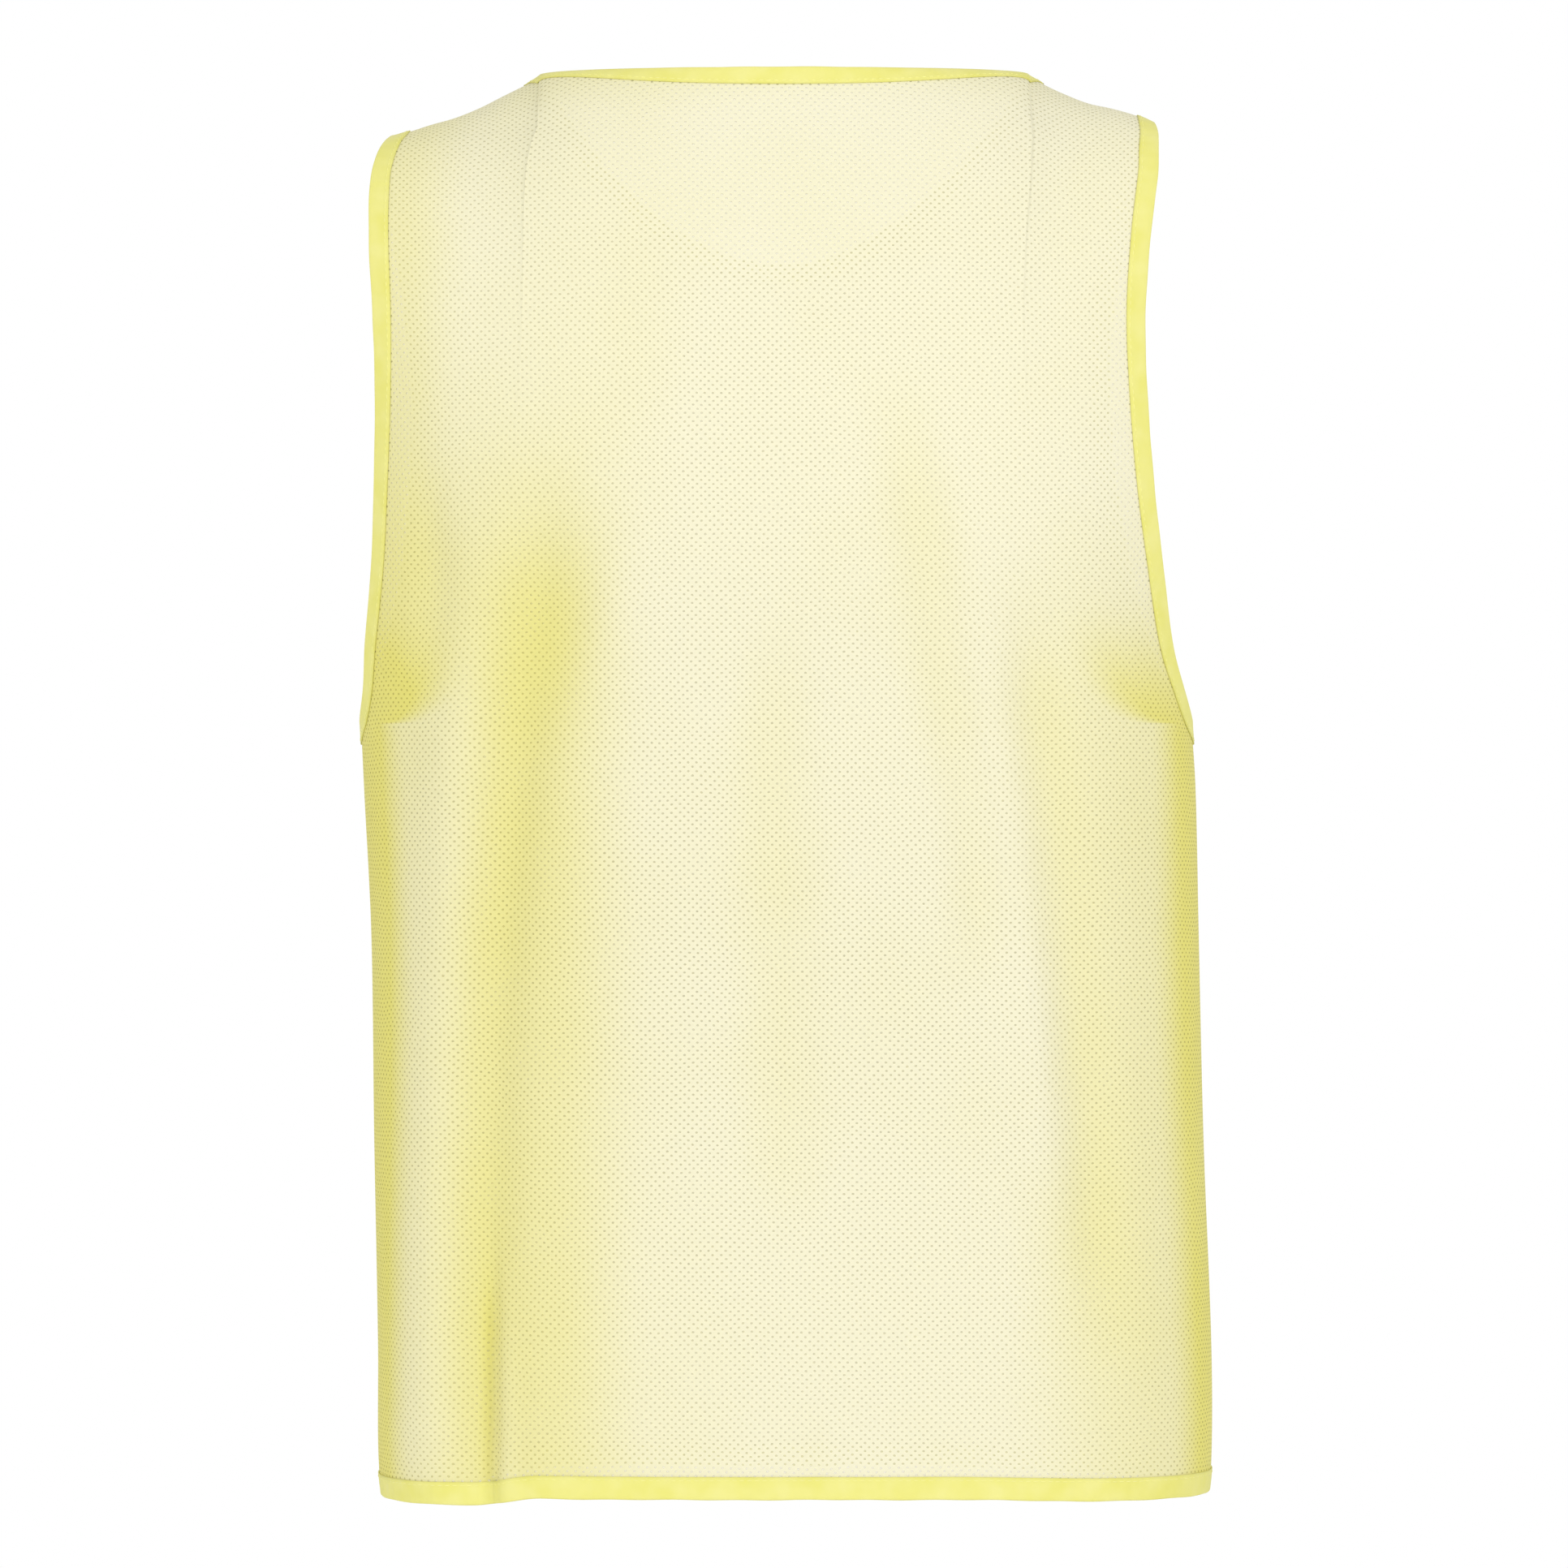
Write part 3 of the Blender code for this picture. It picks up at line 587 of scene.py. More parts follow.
@dataclass
class FoldedTape:
    """A tape folded over the raw edge of the cloth and sewn down."""

    width: float
    closed: bool
    cloth: float = 0.5
    tape: float = 0.6
    lift: float = 0.1
    stitch_inset: float = 1.7
    stitch_length: float = 2.6
    stitch_pitch: float = 3.6
    stitch_rise: float = 0.08
    fold_steps: int = 6
    fold_out: float = 1.1
    bulge: float = 0.0
    bulge_run: float = 11.0
    parts: tuple = (1.0, 0.82, 0.6, 0.38, 0.16)

    def depths(self) -> list[float]:
        """Distances inwards of the section's points, from the tape's own edge to the cloth's."""
        return [self.width * part for part in self.parts] + [0.0]

    def section(self, station: list, along: Vector, swell: float) -> list[Vector]:
        """Middle line of the tape at one station, from the outer leaf round to the inner.

        Args:
            station: points and outward directions at the section's distances.
            along: direction of the edge.
            swell: how far the fold stands out past its usual place.

        Returns:
            The middle line's points.
        """
        over = self.lift + self.tape / 2
        under = self.cloth + over
        outer = [point + outward * over for point, outward in station]
        inner = [point - outward * under for point, outward in reversed(station)]
        edge, outward = station[-1]
        outside = edge - station[0][0]
        outside -= along * outside.dot(along)
        outside -= outward * outside.dot(outward)
        outside.normalize()
        middle = edge - outward * (self.cloth / 2)
        radius = (over + under) / 2
        fold = []
        for k in range(1, self.fold_steps):
            turn = math.pi * k / self.fold_steps
            fold.append(
                middle
                + outward * (radius * math.cos(turn))
                + outside * ((radius * self.fold_out + swell) * math.sin(turn))
            )
        return outer + fold + inner

    def swell_at(self, i: int, count: int) -> float:
        """How far the fold stands out at a station: slight unevenness, more at the underarm."""
        wave = 0.12 * math.sin(i * 0.61) + 0.08 * math.sin(i * 0.237 + 1.1)
        near = min(i, count - i) * Line.step
        return wave + self.bulge * math.exp(-((near / self.bulge_run) ** 2))

    def build(self, name: str, stations: list, finish: "Finish") -> bpy.types.Object:
        """Fold the tape along its stations.

        Args:
            name: the piece's name.
            stations: the line's stations.
            finish: the tape's finish.

        Returns:
            The finished piece, its stitches not joined.
        """
        count = len(stations)
        rows = []
        reached = 0.0
        lengths = []
        for i, station in enumerate(stations):
            before = stations[i - 1] if self.closed or i else station
            after = stations[(i + 1) % count] if self.closed or i < count - 1 else station
            along = (after[-1][0] - before[-1][0]).normalized()
            rows.append(self.section(station, along, self.swell_at(i, count)))
            if i:
                reached += (station[-1][0] - stations[i - 1][-1][0]).length
            lengths.append(reached)
        if self.closed:
            rows.append(rows[0])
            lengths.append(reached + (stations[0][-1][0] - stations[-1][-1][0]).length)
        points = np.array([[tuple(p) for p in row] for row in rows])
        steps = np.linalg.norm(np.diff(points, axis=1), axis=2).mean(axis=0)
        across = np.concatenate([[0.0], np.cumsum(steps)])
        flat = np.stack(np.meshgrid(across, np.array(lengths)), axis=-1)
        piece = flat_grid(name, points.shape[1] - 1, points.shape[0] - 1)
        place_grid(piece, points, flat)
        if self.closed:
            merge_doubles(piece)
        outside_first(piece, points, stations)
        thicken(piece, self.tape, 0.0)
        return dress(piece, finish)

    def stitches(self, name: str, stations: list, finish: "Finish") -> bpy.types.Object:
        """Sew a row of stitches along the tape's inner edge, on its outer and inner leaf.

        Args:
            name: the piece's name.
            stations: the line's stations.
            finish: the thread's finish.

        Returns:
            The joined stitches.
        """
        over = self.lift + self.tape + self.stitch_rise
        part = self.stitch_inset / ((self.parts[0] - self.parts[1]) * self.width)
        ring = stations + stations[:1] if self.closed else stations
        path = []
        for station in ring:
            (far, far_out), (near, near_out) = station[0], station[1]
            path.append((far.lerp(near, part), far_out.lerp(near_out, part).normalized()))
        lengths = [(b[0] - a[0]).length for a, b in zip(path, path[1:])]
        reached = np.concatenate([[0.0], np.cumsum(lengths)])
        spots = []
        for mark in np.arange(self.stitch_pitch, reached[-1] - self.stitch_length, self.stitch_pitch):
            k = int(np.searchsorted(reached, mark) - 1)
            t = (mark - reached[k]) / max(reached[k + 1] - reached[k], 1e-6)
            point = path[k][0].lerp(path[k + 1][0], t)
            outward = path[k][1].lerp(path[k + 1][1], t).normalized()
            along = (path[k + 1][0] - path[k][0]).normalized()
            spots.append((point + outward * over, along, outward))
            spots.append((point - outward * (self.cloth + over), along, outward))
        return sew(name, spots, self.stitch_length, finish)


def deselect_all() -> None:
    """Leave nothing selected, so that the next operator acts on its own piece alone."""
    bpy.ops.object.select_all(action="DESELECT")


def flat_grid(name: str, across: int, up: int) -> bpy.types.Object:
    """Add a flat grid of cloth to lay on the form.

    Args:
        name: the piece's name.
        across: faces across.
        up: faces up.

    Returns:
        The grid, with a UV map.
    """
    deselect_all()
    bpy.ops.mesh.primitive_grid_add(x_subdivisions=across, y_subdivisions=up, size=1.0)
    piece = bpy.context.active_object
    piece.name = name
    piece.data.name = name
    return piece


def place_grid(piece: bpy.types.Object, points: np.ndarray, flat: np.ndarray) -> None:
    """Move a grid's points to their places, and set its UV map to the flat cut in metres.

    Args:
        piece: the grid.
        points: points in mm, rows by columns.
        flat: places on the flat cut in mm, rows by columns.
    """
    mesh = piece.data
    mesh.vertices.foreach_set("co", (points.reshape(-1, 3) * MM).astype(np.float32).ravel())
    corners = np.empty(len(mesh.loops), dtype=np.int32)
    mesh.loops.foreach_get("vertex_index", corners)
    places = flat.reshape(-1, 2)[corners] * MM
    mesh.uv_layers.active.data.foreach_set("uv", places.astype(np.float32).ravel())
    mesh.uv_layers.active.name = "flat_cut"
    mesh.update()


def store_painted_shading(piece: bpy.types.Object, values: np.ndarray) -> None:
    """Store the painted shading at each point: how far towards the shaded yellow the cloth is painted.
    """
    layer = piece.data.attributes.new("painted_shading", "FLOAT", "POINT")
    layer.data.foreach_set("value", values.astype(np.float32).ravel())


def in_edit_mode(piece: bpy.types.Object) -> None:
    """Select one piece and all its faces in edit mode."""
    deselect_all()
    piece.select_set(True)
    bpy.context.view_layer.objects.active = piece
    bpy.ops.object.mode_set(mode="EDIT")
    bpy.ops.mesh.select_all(action="SELECT")


def flip_faces(piece: bpy.types.Object) -> None:
    """Turn a piece's faces round."""
    in_edit_mode(piece)
    bpy.ops.mesh.flip_normals()
    bpy.ops.object.mode_set(mode="OBJECT")


def merge_doubles(piece: bpy.types.Object) -> None:
    """Close a ring by merging its first and last row."""
    in_edit_mode(piece)
    bpy.ops.mesh.remove_doubles(threshold=MERGE_DISTANCE)
    bpy.ops.object.mode_set(mode="OBJECT")


def outside_first(piece: bpy.types.Object, points: np.ndarray, stations: list) -> None:
    """Turn a tape's faces outwards if its first leaf faces the cloth."""
    outward = stations[len(stations) // 2][2][1]
    middle = Vector(points[len(stations) // 2][2]) * MM
    nearest = min(piece.data.polygons, key=lambda face: (face.center - middle).length)
    if nearest.normal.dot(outward) < 0.0:
        flip_faces(piece)


def thicken(piece: bpy.types.Object, thickness: float, offset: float) -> None:
    """Give a sheet its thickness in mm and smooth its shading."""
    deselect_all()
    piece.select_set(True)
    bpy.context.view_layer.objects.active = piece
    wall = piece.modifiers.new("wall", "SOLIDIFY")
    wall.thickness = thickness * MM
    wall.offset = offset
    bpy.ops.object.modifier_apply(modifier=wall.name)
    bpy.ops.object.shade_smooth()


def dress(piece: bpy.types.Object, finish: "Finish") -> bpy.types.Object:
    """Give a piece its finish as its one material."""
    piece.data.materials.clear()
    piece.data.materials.append(finish.material())
    return piece


def sew(name: str, spots: list, length: float, finish: "Finish") -> bpy.types.Object:
    """Copy one stitch to every spot and join the copies.

    Args:
        name: the piece's name.
        spots: centre, direction and outward direction of each stitch, in mm.
        length: a stitch's length in mm.
        finish: the thread's finish.

    Returns:
        The joined stitches.
    """
    deselect_all()
    bpy.ops.mesh.primitive_uv_sphere_add(segments=6, ring_count=4, radius=0.5)
    model = bpy.context.active_object
    shape = np.array([tuple(v.co) for v in model.data.vertices])
    faces = [tuple(face.vertices) for face in model.data.polygons]
    bpy.data.objects.remove(model)
    shape = shape * np.array([STITCH_WIDTH, STITCH_HEIGHT, length])
    points = []
    joined = []
    for centre, along, outward in spots:
        side = along.cross(outward).normalized()
        axes = np.array([tuple(side), tuple(outward), tuple(along)])
        start = len(points) * len(shape)
        points.append(shape @ axes + np.array(tuple(centre)))
        joined += [tuple(start + k for k in face) for face in faces]
    mesh = bpy.data.meshes.new(name)
    mesh.from_pydata((np.concatenate(points) * MM).tolist(), [], joined)
    mesh.shade_smooth()
    piece = bpy.data.objects.new(name, mesh)
    bpy.context.scene.collection.objects.link(piece)
    return dress(piece, finish)


def linear(colour: str) -> tuple[float, float, float, float]:
    """Turn an sRGB hex colour to linear values."""
    parts = [int(colour[k:k + 2], 16) / 255 for k in (1, 3, 5)]
    values = [p / 12.92 if p <= 0.04045 else ((p + 0.055) / 1.055) ** 2.4 for p in parts]
    return values[0], values[1], values[2], 1.0


def add_node(
    tree: bpy.types.NodeTree, kind: str, settings: dict | None = None, links: dict | None = None
) -> bpy.types.Node:
    """Add a node to a tree.

    Args:
        tree: the material's or world's node tree.
        kind: the node's type.
        settings: values of its properties, or of its sockets by number or name.
        links: output sockets to link, by input number or name.

    Returns:
        The new node.
    """
    node = tree.nodes.new(kind)
    for key, value in (settings or {}).items():
        if isinstance(key, str) and hasattr(node, key):
            setattr(node, key, value)
        else:
            node.inputs[key].default_value = value
    for key, output in (links or {}).items():
        tree.links.new(output, node.inputs[key])
    return node


def empty_material(name: str) -> bpy.types.Material:
    """Make a material with no nodes but its output."""
    material = bpy.data.materials.new(name)
    material.use_nodes = True
    material.node_tree.nodes.clear()
    return material


@dataclass(frozen=True)
class Finish:
    """What a surface is and how it looks."""

    name: str
    record_slot: str
    colour: str
    roughness: float

    def material(self) -> bpy.types.Material:
        """Find this finish's material, or make it."""
        return bpy.data.materials.get(self.name) or self.make()

    def make(self) -> bpy.types.Material:
        """Make the material; each kind of finish has its own."""
        raise NotImplementedError


@dataclass(frozen=True)
class MeshCloth(Finish):
    """Warp-knitted polyester mesh, matt and sheer, with a net of small eyelets."""

    # The darker yellow of the painted shade
    shaded: str = "#E5DE78"
    eyelet_pitch: float = 4.0
    eyelet_row: float = 1.95
    eyelet_size: float = 0.62
    eyelet_edge: float = 0.25
    eyelet_flatness: float = 1.25
    yarn_across: float = 0.45
    pull: float = 3.0
    yarn_pitch: float = 1.0
    rib_height: float = 0.35
    glow: float = 0.18

    def make(self) -> bpy.types.Material:
        """Make the cloth: yellow yarn with eyelets 4 mm apart in staggered rows."""
        material = empty_material(self.name)
        tree = material.node_tree
        place = add_node(tree, "ShaderNodeUVMap", {"uv_map": "flat_cut"}).outputs[0]
        # The knit is pulled about by about half a millimetre, over lengths of 2 to 3 cm
        pull = add_node(tree, "ShaderNodeTexNoise", {"Scale": 38.0, "Detail": 1.0}, {0: place})
        drawn = add_node(tree, "ShaderNodeVectorMath",
                         {"operation": "MULTIPLY_ADD", 1: (self.pull * MM,) * 3},
                         {0: pull.outputs["Color"], 2: place})
        pitch = (1.0 / (self.eyelet_pitch * MM), 0.5 / (self.eyelet_row * MM), 0.0)
        # Two nets of eyelets, the second half a step across and half a step up
        gaps = []
        for shift in (0.0, 0.5):
            step = add_node(tree, "ShaderNodeVectorMath",
                            {"operation": "MULTIPLY_ADD", 1: pitch, 2: (shift, shift, 0.0)},
                            {0: drawn.outputs[0]})
            cell = add_node(tree, "ShaderNodeVectorMath", {"operation": "FRACTION"},
                            {0: step.outputs[0]})
            centred = add_node(tree, "ShaderNodeVectorMath",
                               {"operation": "SUBTRACT", 1: (0.5, 0.5, 0.0)}, {0: cell.outputs[0]})
            sized = add_node(tree, "ShaderNodeVectorMath",
                             {"operation": "MULTIPLY",
                              1: (self.eyelet_pitch, 2.0 * self.eyelet_row * self.eyelet_flatness, 0.0)},
                             {0: centred.outputs[0]})
            length = add_node(tree, "ShaderNodeVectorMath", {"operation": "LENGTH"},
                              {0: sized.outputs[0]})
            gaps.append(length.outputs["Value"])
        nearest = add_node(tree, "ShaderNodeMath", {"operation": "MINIMUM"}, {0: gaps[0], 1: gaps[1]})
        cover = add_node(tree, "ShaderNodeMapRange",
                         {"interpolation_type": "SMOOTHSTEP", 1: self.eyelet_size - self.eyelet_edge,
                          2: self.eyelet_size + self.eyelet_edge, 3: self.yarn_across, 4: 1.0},
                         {0: nearest.outputs[0]})
        # The yarn's loops are about 1 mm apart, a soft rib across the cloth between eyelets
        rib = add_node(tree, "ShaderNodeTexWave",
                       {"wave_type": "BANDS", "bands_direction": "DIAGONAL",
                        "Scale": 1.0 / (self.yarn_pitch * MM) / WAVE_RADIANS, "Distortion": 0.4},
                       {0: place})
        height = add_node(tree, "ShaderNodeMath", {"operation": "MULTIPLY_ADD", 1: self.rib_height},
                          {0: rib.outputs["Fac"], 2: cover.outputs[0]})
        bump = add_node(tree, "ShaderNodeBump", {"Strength": 0.35, "Distance": 0.0004},
                        {"Height": height.outputs[0]})
        # Painted shade: a darker yellow in the folds, towards the sides and on the left away from the
        # light, paler on ridges, cream in the middle; uneven by a few percent at random
        depth = add_node(tree, "ShaderNodeAttribute", {"attribute_name": "painted_shading"})
        cloud = add_node(tree, "ShaderNodeTexNoise", {"Scale": 9.0, "Detail": 2.0}, {0: place})
        uneven = add_node(tree, "ShaderNodeMapRange", {1: 0.3, 2: 0.7, 3: -0.06, 4: 0.06},
                          {0: cloud.outputs["Fac"]})
        shading_and_tone = add_node(tree, "ShaderNodeMath", {"operation": "ADD", "use_clamp": True},
                            {0: depth.outputs["Fac"], 1: uneven.outputs[0]})
        colour = add_node(tree, "ShaderNodeMix",
                          {"data_type": "RGBA", 6: linear(self.colour), 7: linear(self.shaded)},
                          {0: shading_and_tone.outputs[0]})
        body = add_node(tree, "ShaderNodeBsdfPrincipled",
                        {"Roughness": self.roughness, "Sheen Weight": 0.15, "Sheen Roughness": 0.5,
                         "Specular IOR Level": 0.25},
                        {"Base Color": colour.outputs[2], "Normal": bump.outputs[0]})
        through = add_node(tree, "ShaderNodeBsdfTranslucent", {},
                           {"Color": colour.outputs[2], "Normal": bump.outputs[0]})
        cloth = add_node(tree, "ShaderNodeMixShader", {0: self.glow},
                         {1: body.outputs[0], 2: through.outputs[0]})
        clear = add_node(tree, "ShaderNodeBsdfTransparent")
        whole = add_node(tree, "ShaderNodeMixShader", {},
                         {0: cover.outputs[0], 1: clear.outputs[0], 2: cloth.outputs[0]})
        add_node(tree, "ShaderNodeOutputMaterial", {}, {"Surface": whole.outputs[0]})
        return material


@dataclass(frozen=True)
class BindingTape(Finish):
    """Knitted polyester tape, plain and close, with a faint rib across it."""

    crown: str = "#F3EF96"
    rib_pitch: float = 1.2
    glow: float = 0.2

    def make(self) -> bpy.types.Material:
        """Make the tape: close yellow knit, a little paler in random patches."""
        material = empty_material(self.name)
        tree = material.node_tree
        place = add_node(tree, "ShaderNodeUVMap", {"uv_map": "flat_cut"}).outputs[0]
        rib = add_node(tree, "ShaderNodeTexWave",
                       {"wave_type": "BANDS", "bands_direction": "Y",
                        "Scale": 1.0 / (self.rib_pitch * MM) / WAVE_RADIANS, "Distortion": 1.2,
                        "Detail": 1.0},
                       {0: place})
        bump = add_node(tree, "ShaderNodeBump", {"Strength": 0.3, "Distance": 0.0003},
                        {"Height": rib.outputs["Fac"]})
        cloud = add_node(tree, "ShaderNodeTexNoise", {"Scale": 60.0, "Detail": 2.0}, {0: place})
        shade = add_node(tree, "ShaderNodeMapRange", {1: 0.3, 2: 0.7, 3: 0.0, 4: 1.0},
                         {0: cloud.outputs["Fac"]})
        colour = add_node(tree, "ShaderNodeMix",
                          {"data_type": "RGBA", 6: linear(self.colour), 7: linear(self.crown)},
                          {0: shade.outputs[0]})
        body = add_node(tree, "ShaderNodeBsdfPrincipled",
                        {"Roughness": self.roughness, "Sheen Weight": 0.15, "Specular IOR Level": 0.25},
                        {"Base Color": colour.outputs[2], "Normal": bump.outputs[0]})
        through = add_node(tree, "ShaderNodeBsdfTranslucent", {}, {"Color": colour.outputs[2]})
        whole = add_node(tree, "ShaderNodeMixShader", {0: self.glow},
                         {1: body.outputs[0], 2: through.outputs[0]})
        add_node(tree, "ShaderNodeOutputMaterial", {}, {"Surface": whole.outputs[0]})
        return material


@dataclass(frozen=True)
class SewingThread(Finish):
    """Spun polyester thread, slightly glossier than the tape."""

    def make(self) -> bpy.types.Material:
        """Make the thread: plain yellow with a soft gloss."""
        material = empty_material(self.name)
        tree = material.node_tree
        body = add_node(tree, "ShaderNodeBsdfPrincipled",
                        {"Base Color": linear(self.colour), "Roughness": self.roughness,
                         "Sheen Weight": 0.1})
        add_node(tree, "ShaderNodeOutputMaterial", {}, {"Surface": body.outputs[0]})
        return material


@dataclass(frozen=True)
class StudioPaper(Finish):
    """Seamless white paper, matt."""

    def make(self) -> bpy.types.Material:
        """Make the paper: near white with no gloss."""
        material = empty_material(self.name)
        tree = material.node_tree
        body = add_node(tree, "ShaderNodeBsdfPrincipled",
                        {"Base Color": linear(self.colour), "Roughness": self.roughness,
                         "Specular IOR Level": 0.1})
        add_node(tree, "ShaderNodeOutputMaterial", {}, {"Surface": body.outputs[0]})
        return material


MESH_CLOTH = MeshCloth("knitted_mesh_polyester", "mesh_cloth", "#EFEBCF", 0.85)
TAPE = BindingTape("knitted_binding_tape", "binding_tape", "#EEEA7E", 0.75)
THREAD = SewingThread("spun_polyester_thread", "binding_tape", "#F1ED94", 0.55)
PAPER = StudioPaper("seamless_paper", "mesh_cloth", "#FBFBFA", 0.9)


BACK_FOLDS = (
    Fold(-172.0, -150.0, -168.0, -300.0, 2.0, 11.0, 3.5),
    Fold(-108.0, -160.0, -143.0, -720.0, -16.0, 17.0, 7.0),
    Fold(-152.0, -230.0, -172.0, -720.0, -4.0, 18.0, -5.0),
    Fold(-86.0, -180.0, -112.0, -330.0, -3.0, 13.0, 3.0),
    Fold(-3.0, -220.0, 3.0, -560.0, -3.0, 16.0, 2.5),
    Fold(47.0, -120.0, 108.0, -460.0, 6.0, 15.0, 5.0),
    Fold(73.0, -190.0, 134.0, -560.0, 4.0, 14.0, -2.5),
    Fold(112.0, -210.0, 156.0, -620.0, 2.0, 14.0, 4.0),
    Fold(14.0, -600.0, 17.0, -720.0, 0.0, 9.0, 2.0),
    Fold(-141.0, -535.0, -141.5, -900.0, 0.0, 3.6, 3.4, 60.0),
    Fold(-133.5, -545.0, -133.0, -900.0, 0.0, 5.5, -1.8),
)
FRONT_FOLDS = (
    Fold(-160.0, -170.0, -150.0, -420.0, 4.0, 14.0, 4.0),
    Fold(-92.0, -150.0, -118.0, -640.0, -8.0, 18.0, 5.0),
    Fold(-30.0, -260.0, -44.0, -720.0, 3.0, 18.0, 3.0),
    Fold(24.0, -190.0, 40.0, -560.0, 4.0, 16.0, 2.5),
    Fold(90.0, -140.0, 126.0, -720.0, 9.0, 18.0, 5.5),
    Fold(150.0, -180.0, 168.0, -470.0, 2.0, 13.0, 3.5),
)


def join_ring(back: list, front: list) -> list:
    """Close two lines of stations into a ring, with one station where each pair of ends meets.

    Args:
        back: stations along the back panel.
        front: stations along the front panel, in the same direction.

    Returns:
        The ring's stations.
    """
    def meet(first: list, second: list) -> list:
        met = []
        for (point_a, outward_a), (point_b, outward_b) in zip(first, second):
            outward = outward_a + outward_b
            outward.y = 0.0
            met.append(((point_a + point_b) / 2, outward.normalized()))
        return met

    front = front[::-1]
    return [meet(back[0], front[-1])] + back[1:-1] + [meet(back[-1], front[0])] + front[1:-1]


@dataclass
class Bib:
    """The whole bib: two panels and the tapes that bind them."""

    tape_width: float = 10.0
    neck_tape_width: float = 8.5
    back: PanelSheet = field(default_factory=lambda: PanelSheet(Facing.BACK, BACK_FOLDS))
    front: PanelSheet = field(default_factory=lambda: PanelSheet(Facing.FRONT, FRONT_FOLDS))

    def build(self) -> None:
        tapes = self.make_tapes()
        sheets = (
            (self.back, "back_panel", (0.53, 0.73), 0.33,
             ["neck", "armhole_left", "armhole_right", "hem_back"]),
            (self.front, "front_panel", (0.53, 0.72), 0.31, ["hem_front"]),
        )
        for sheet, node, flat, area, edges in sheets:
            piece = sheet.build(node + "_cloth", MESH_CLOTH)
            self.settle(piece, node)

    def settle(self, piece: bpy.types.Object, node: str | None = None) -> None:
        """Ride a piece on the body and let it replace its solid."""
        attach(piece, BODY)
        if node:
            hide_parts(node)
        log.info("%s: %d faces", piece.name, len(piece.data.polygons))

    def make_tapes(self) -> dict[str, list]:
        """Fold and sew every tape.

        Returns:
            The tape and its stitches, by the edge that they bind.
        """
        patterns = {Facing.BACK: Pattern(self.back), Facing.FRONT: Pattern(self.front)}
        lower = self.back.lower_rows
        margin = self.back.shoulder_columns
        rings = {}
        tape = FoldedTape(self.tape_width, True, bulge=3.4)
        for hand, column in ((Hand.LEFT, slice(0, 1)), (Hand.RIGHT, slice(-1, None))):
            lines = [
                Line(patterns[facing], slice(lower, None), column, hand.value).stations(tape.depths())
                for facing in Facing
            ]
            rings["armhole_" + self.back.form.side(hand)] = (tape, join_ring(*lines))
        tape = FoldedTape(self.neck_tape_width, True)
        lines = [
            Line(patterns[facing], slice(-1, None), slice(margin, -margin), -1).stations(tape.depths())
            for facing in Facing
        ]
        rings["neck"] = (tape, join_ring(*lines))
        tape = FoldedTape(self.tape_width, False)
        for facing in Facing:
            line = Line(patterns[facing], slice(0, 1), slice(None), 1)
            rings["hem_" + facing.name.lower()] = (tape, line.stations(tape.depths()))
        nodes = {
            "neck": "neck_binding",
            "armhole_left": "armhole_binding_left",
            "armhole_right": "armhole_binding_right",
            "hem_back": "hem_binding_back",
            "hem_front": "hem_binding_front",
        }
        made = {}
        for edge, (tape, stations) in rings.items():
            piece = tape.build(edge + "_tape", stations, TAPE)
            self.settle(piece, nodes[edge])
            stitches = tape.stitches(edge + "_stitches", stations, THREAD)
            self.settle(stitches)
            made[edge] = [piece, stitches]
        return made


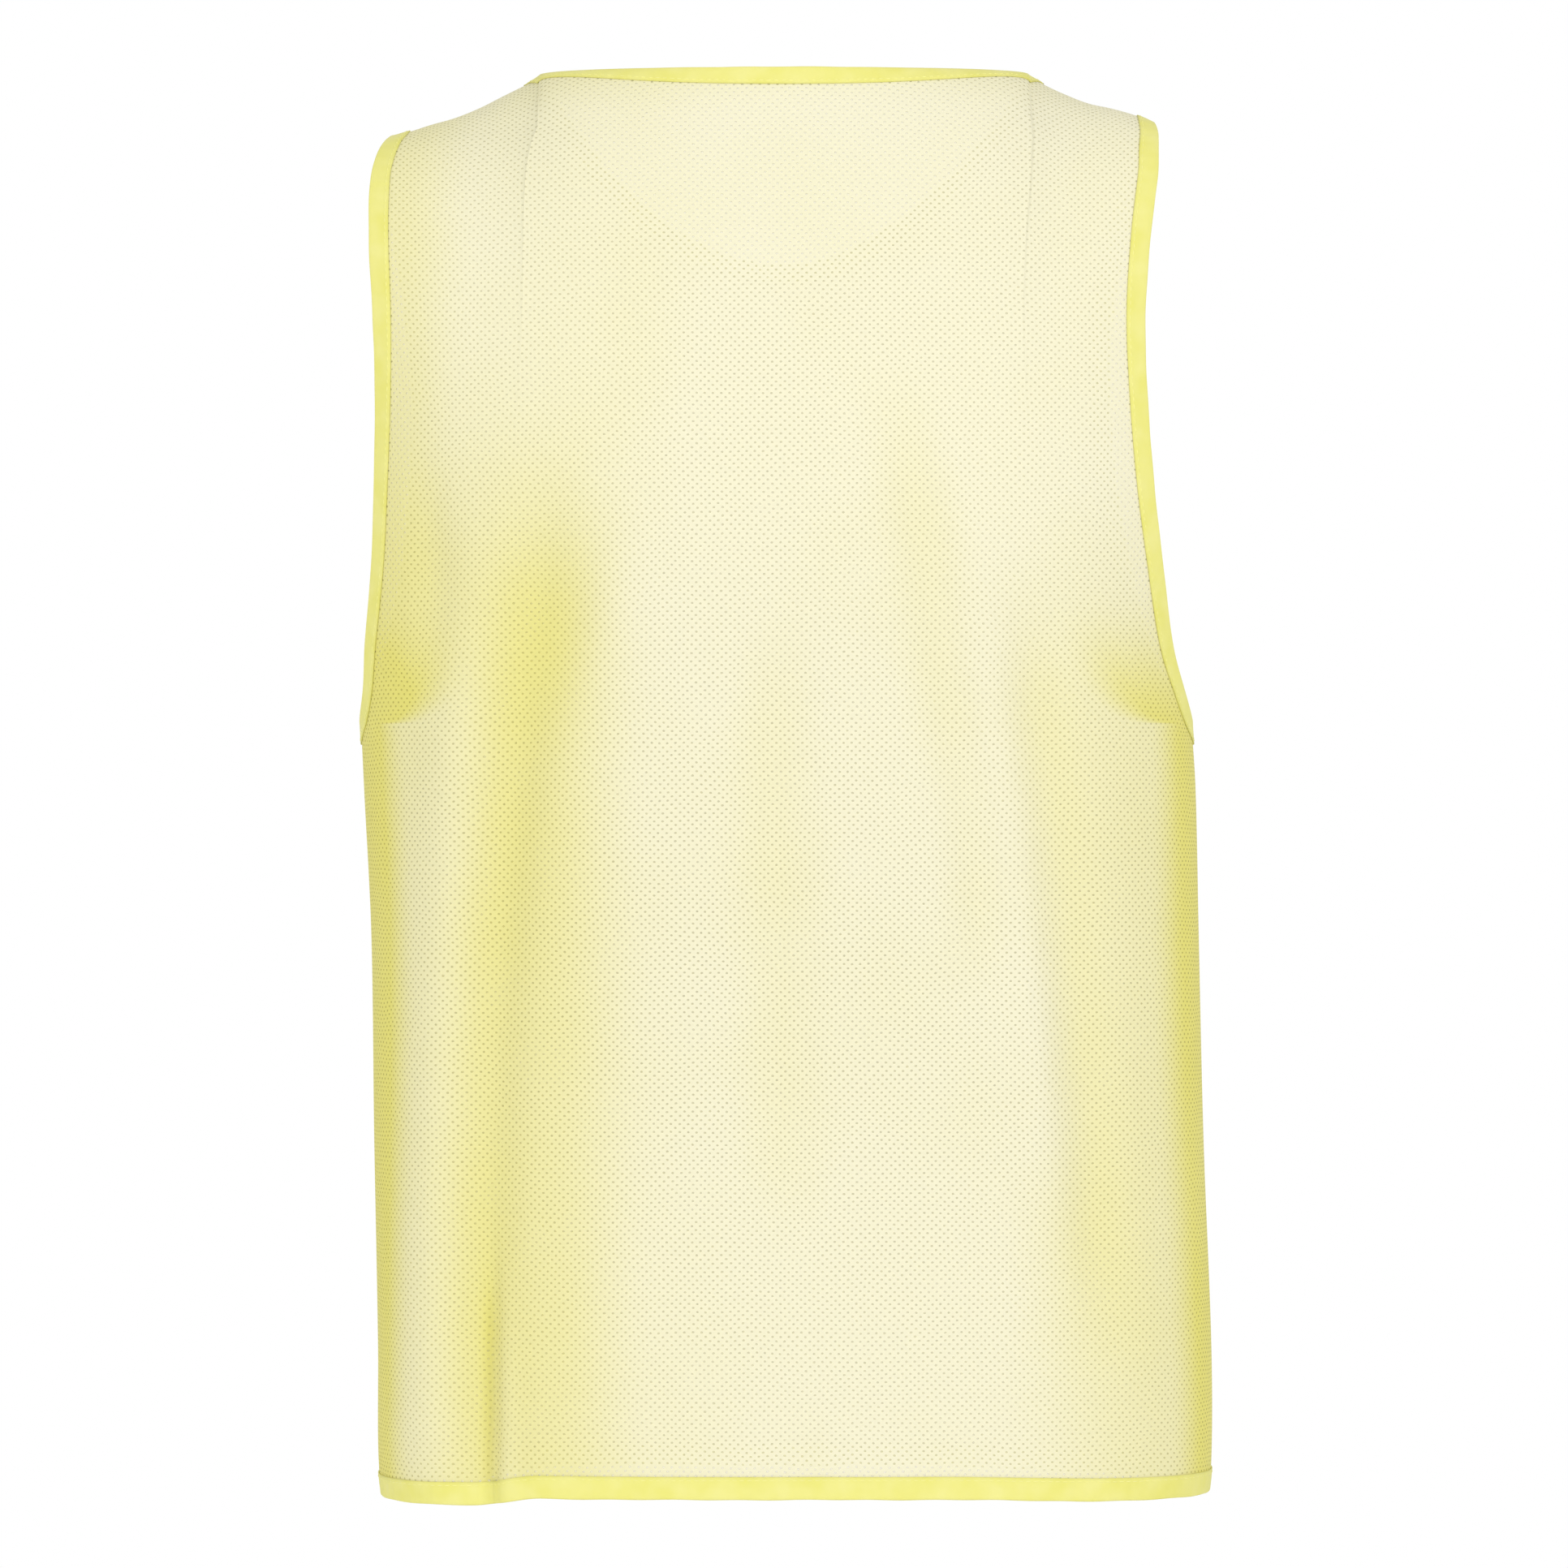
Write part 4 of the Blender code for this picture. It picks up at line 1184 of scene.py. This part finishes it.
@dataclass
class Studio:
    """Pale floor, soft light and the camera, in metres."""

    floor_height: float = -1.45
    floor_radius: float = 6.0
    camera_distance: float = 4.25
    camera_height: float = -0.3271
    lens: float = 200.0
    background: float = 1.0
    ambient: float = 0.72

    def build(self) -> None:
        """Make the floor, the light and the camera."""
        self.floor()
        self.world()
        self.soft_light("key", (2.6, -3.0, 1.6), 2.4, 73.0)
        self.soft_light("fill", (-3.0, -3.2, 0.4), 2.6, 58.0)
        self.camera()
        bpy.context.scene.view_settings.view_transform = "Standard"

    def floor(self) -> None:
        """Lay the floor well below the hem."""
        deselect_all()
        bpy.ops.mesh.primitive_circle_add(
            vertices=96, radius=self.floor_radius, fill_type="NGON",
            location=(0.0, 0.0, self.floor_height))
        floor = bpy.context.active_object
        floor.name = "floor"
        floor.data.materials.append(PAPER.material())

    def world(self) -> None:
        """White all round: full white to the eye, a little less as light."""
        world = bpy.data.worlds.new("studio_white")
        world.use_nodes = True
        tree = world.node_tree
        tree.nodes.clear()
        seen = add_node(tree, "ShaderNodeLightPath")
        glow = add_node(tree, "ShaderNodeBackground", {"Color": (1, 1, 1, 1), "Strength": self.ambient})
        back = add_node(tree, "ShaderNodeBackground",
                        {"Color": (1, 1, 1, 1), "Strength": self.background})
        mixed = add_node(tree, "ShaderNodeMixShader", {},
                         {0: seen.outputs["Is Camera Ray"], 1: glow.outputs[0], 2: back.outputs[0]})
        add_node(tree, "ShaderNodeOutputWorld", {}, {"Surface": mixed.outputs[0]})
        bpy.context.scene.world = world

    def soft_light(self, name: str, place: tuple, size: float, watts: float) -> None:
        """Hang a large soft light that points at the bib.

        Args:
            name: the light's name.
            place: where it hangs.
            size: its side.
            watts: its power.
        """
        light = bpy.data.lights.new(name, "AREA")
        light.size = size
        light.energy = watts
        lamp = bpy.data.objects.new(name, light)
        bpy.context.scene.collection.objects.link(lamp)
        lamp.location = place
        aim = Vector((0.0, 0.0, self.camera_height)) - Vector(place)
        lamp.rotation_euler = aim.to_track_quat("-Z", "Y").to_euler()

    def camera(self) -> None:
        """Stand the camera level, behind the wearer, as the photograph was taken."""
        lens = bpy.data.cameras.new("camera")
        lens.lens = self.lens
        lens.clip_end = 100.0
        camera = bpy.data.objects.new("camera", lens)
        bpy.context.scene.collection.objects.link(camera)
        camera.location = (0.0, -self.camera_distance, self.camera_height)
        camera.rotation_euler = (math.pi / 2, 0.0, 0.0)
        bpy.context.scene.camera = camera


def main() -> None:
    """Build the bib and the studio round it."""
    logging.basicConfig(level=logging.INFO, format="%(message)s")
    Bib().build()
    Studio().build()


if __name__ == "__main__":
    main()
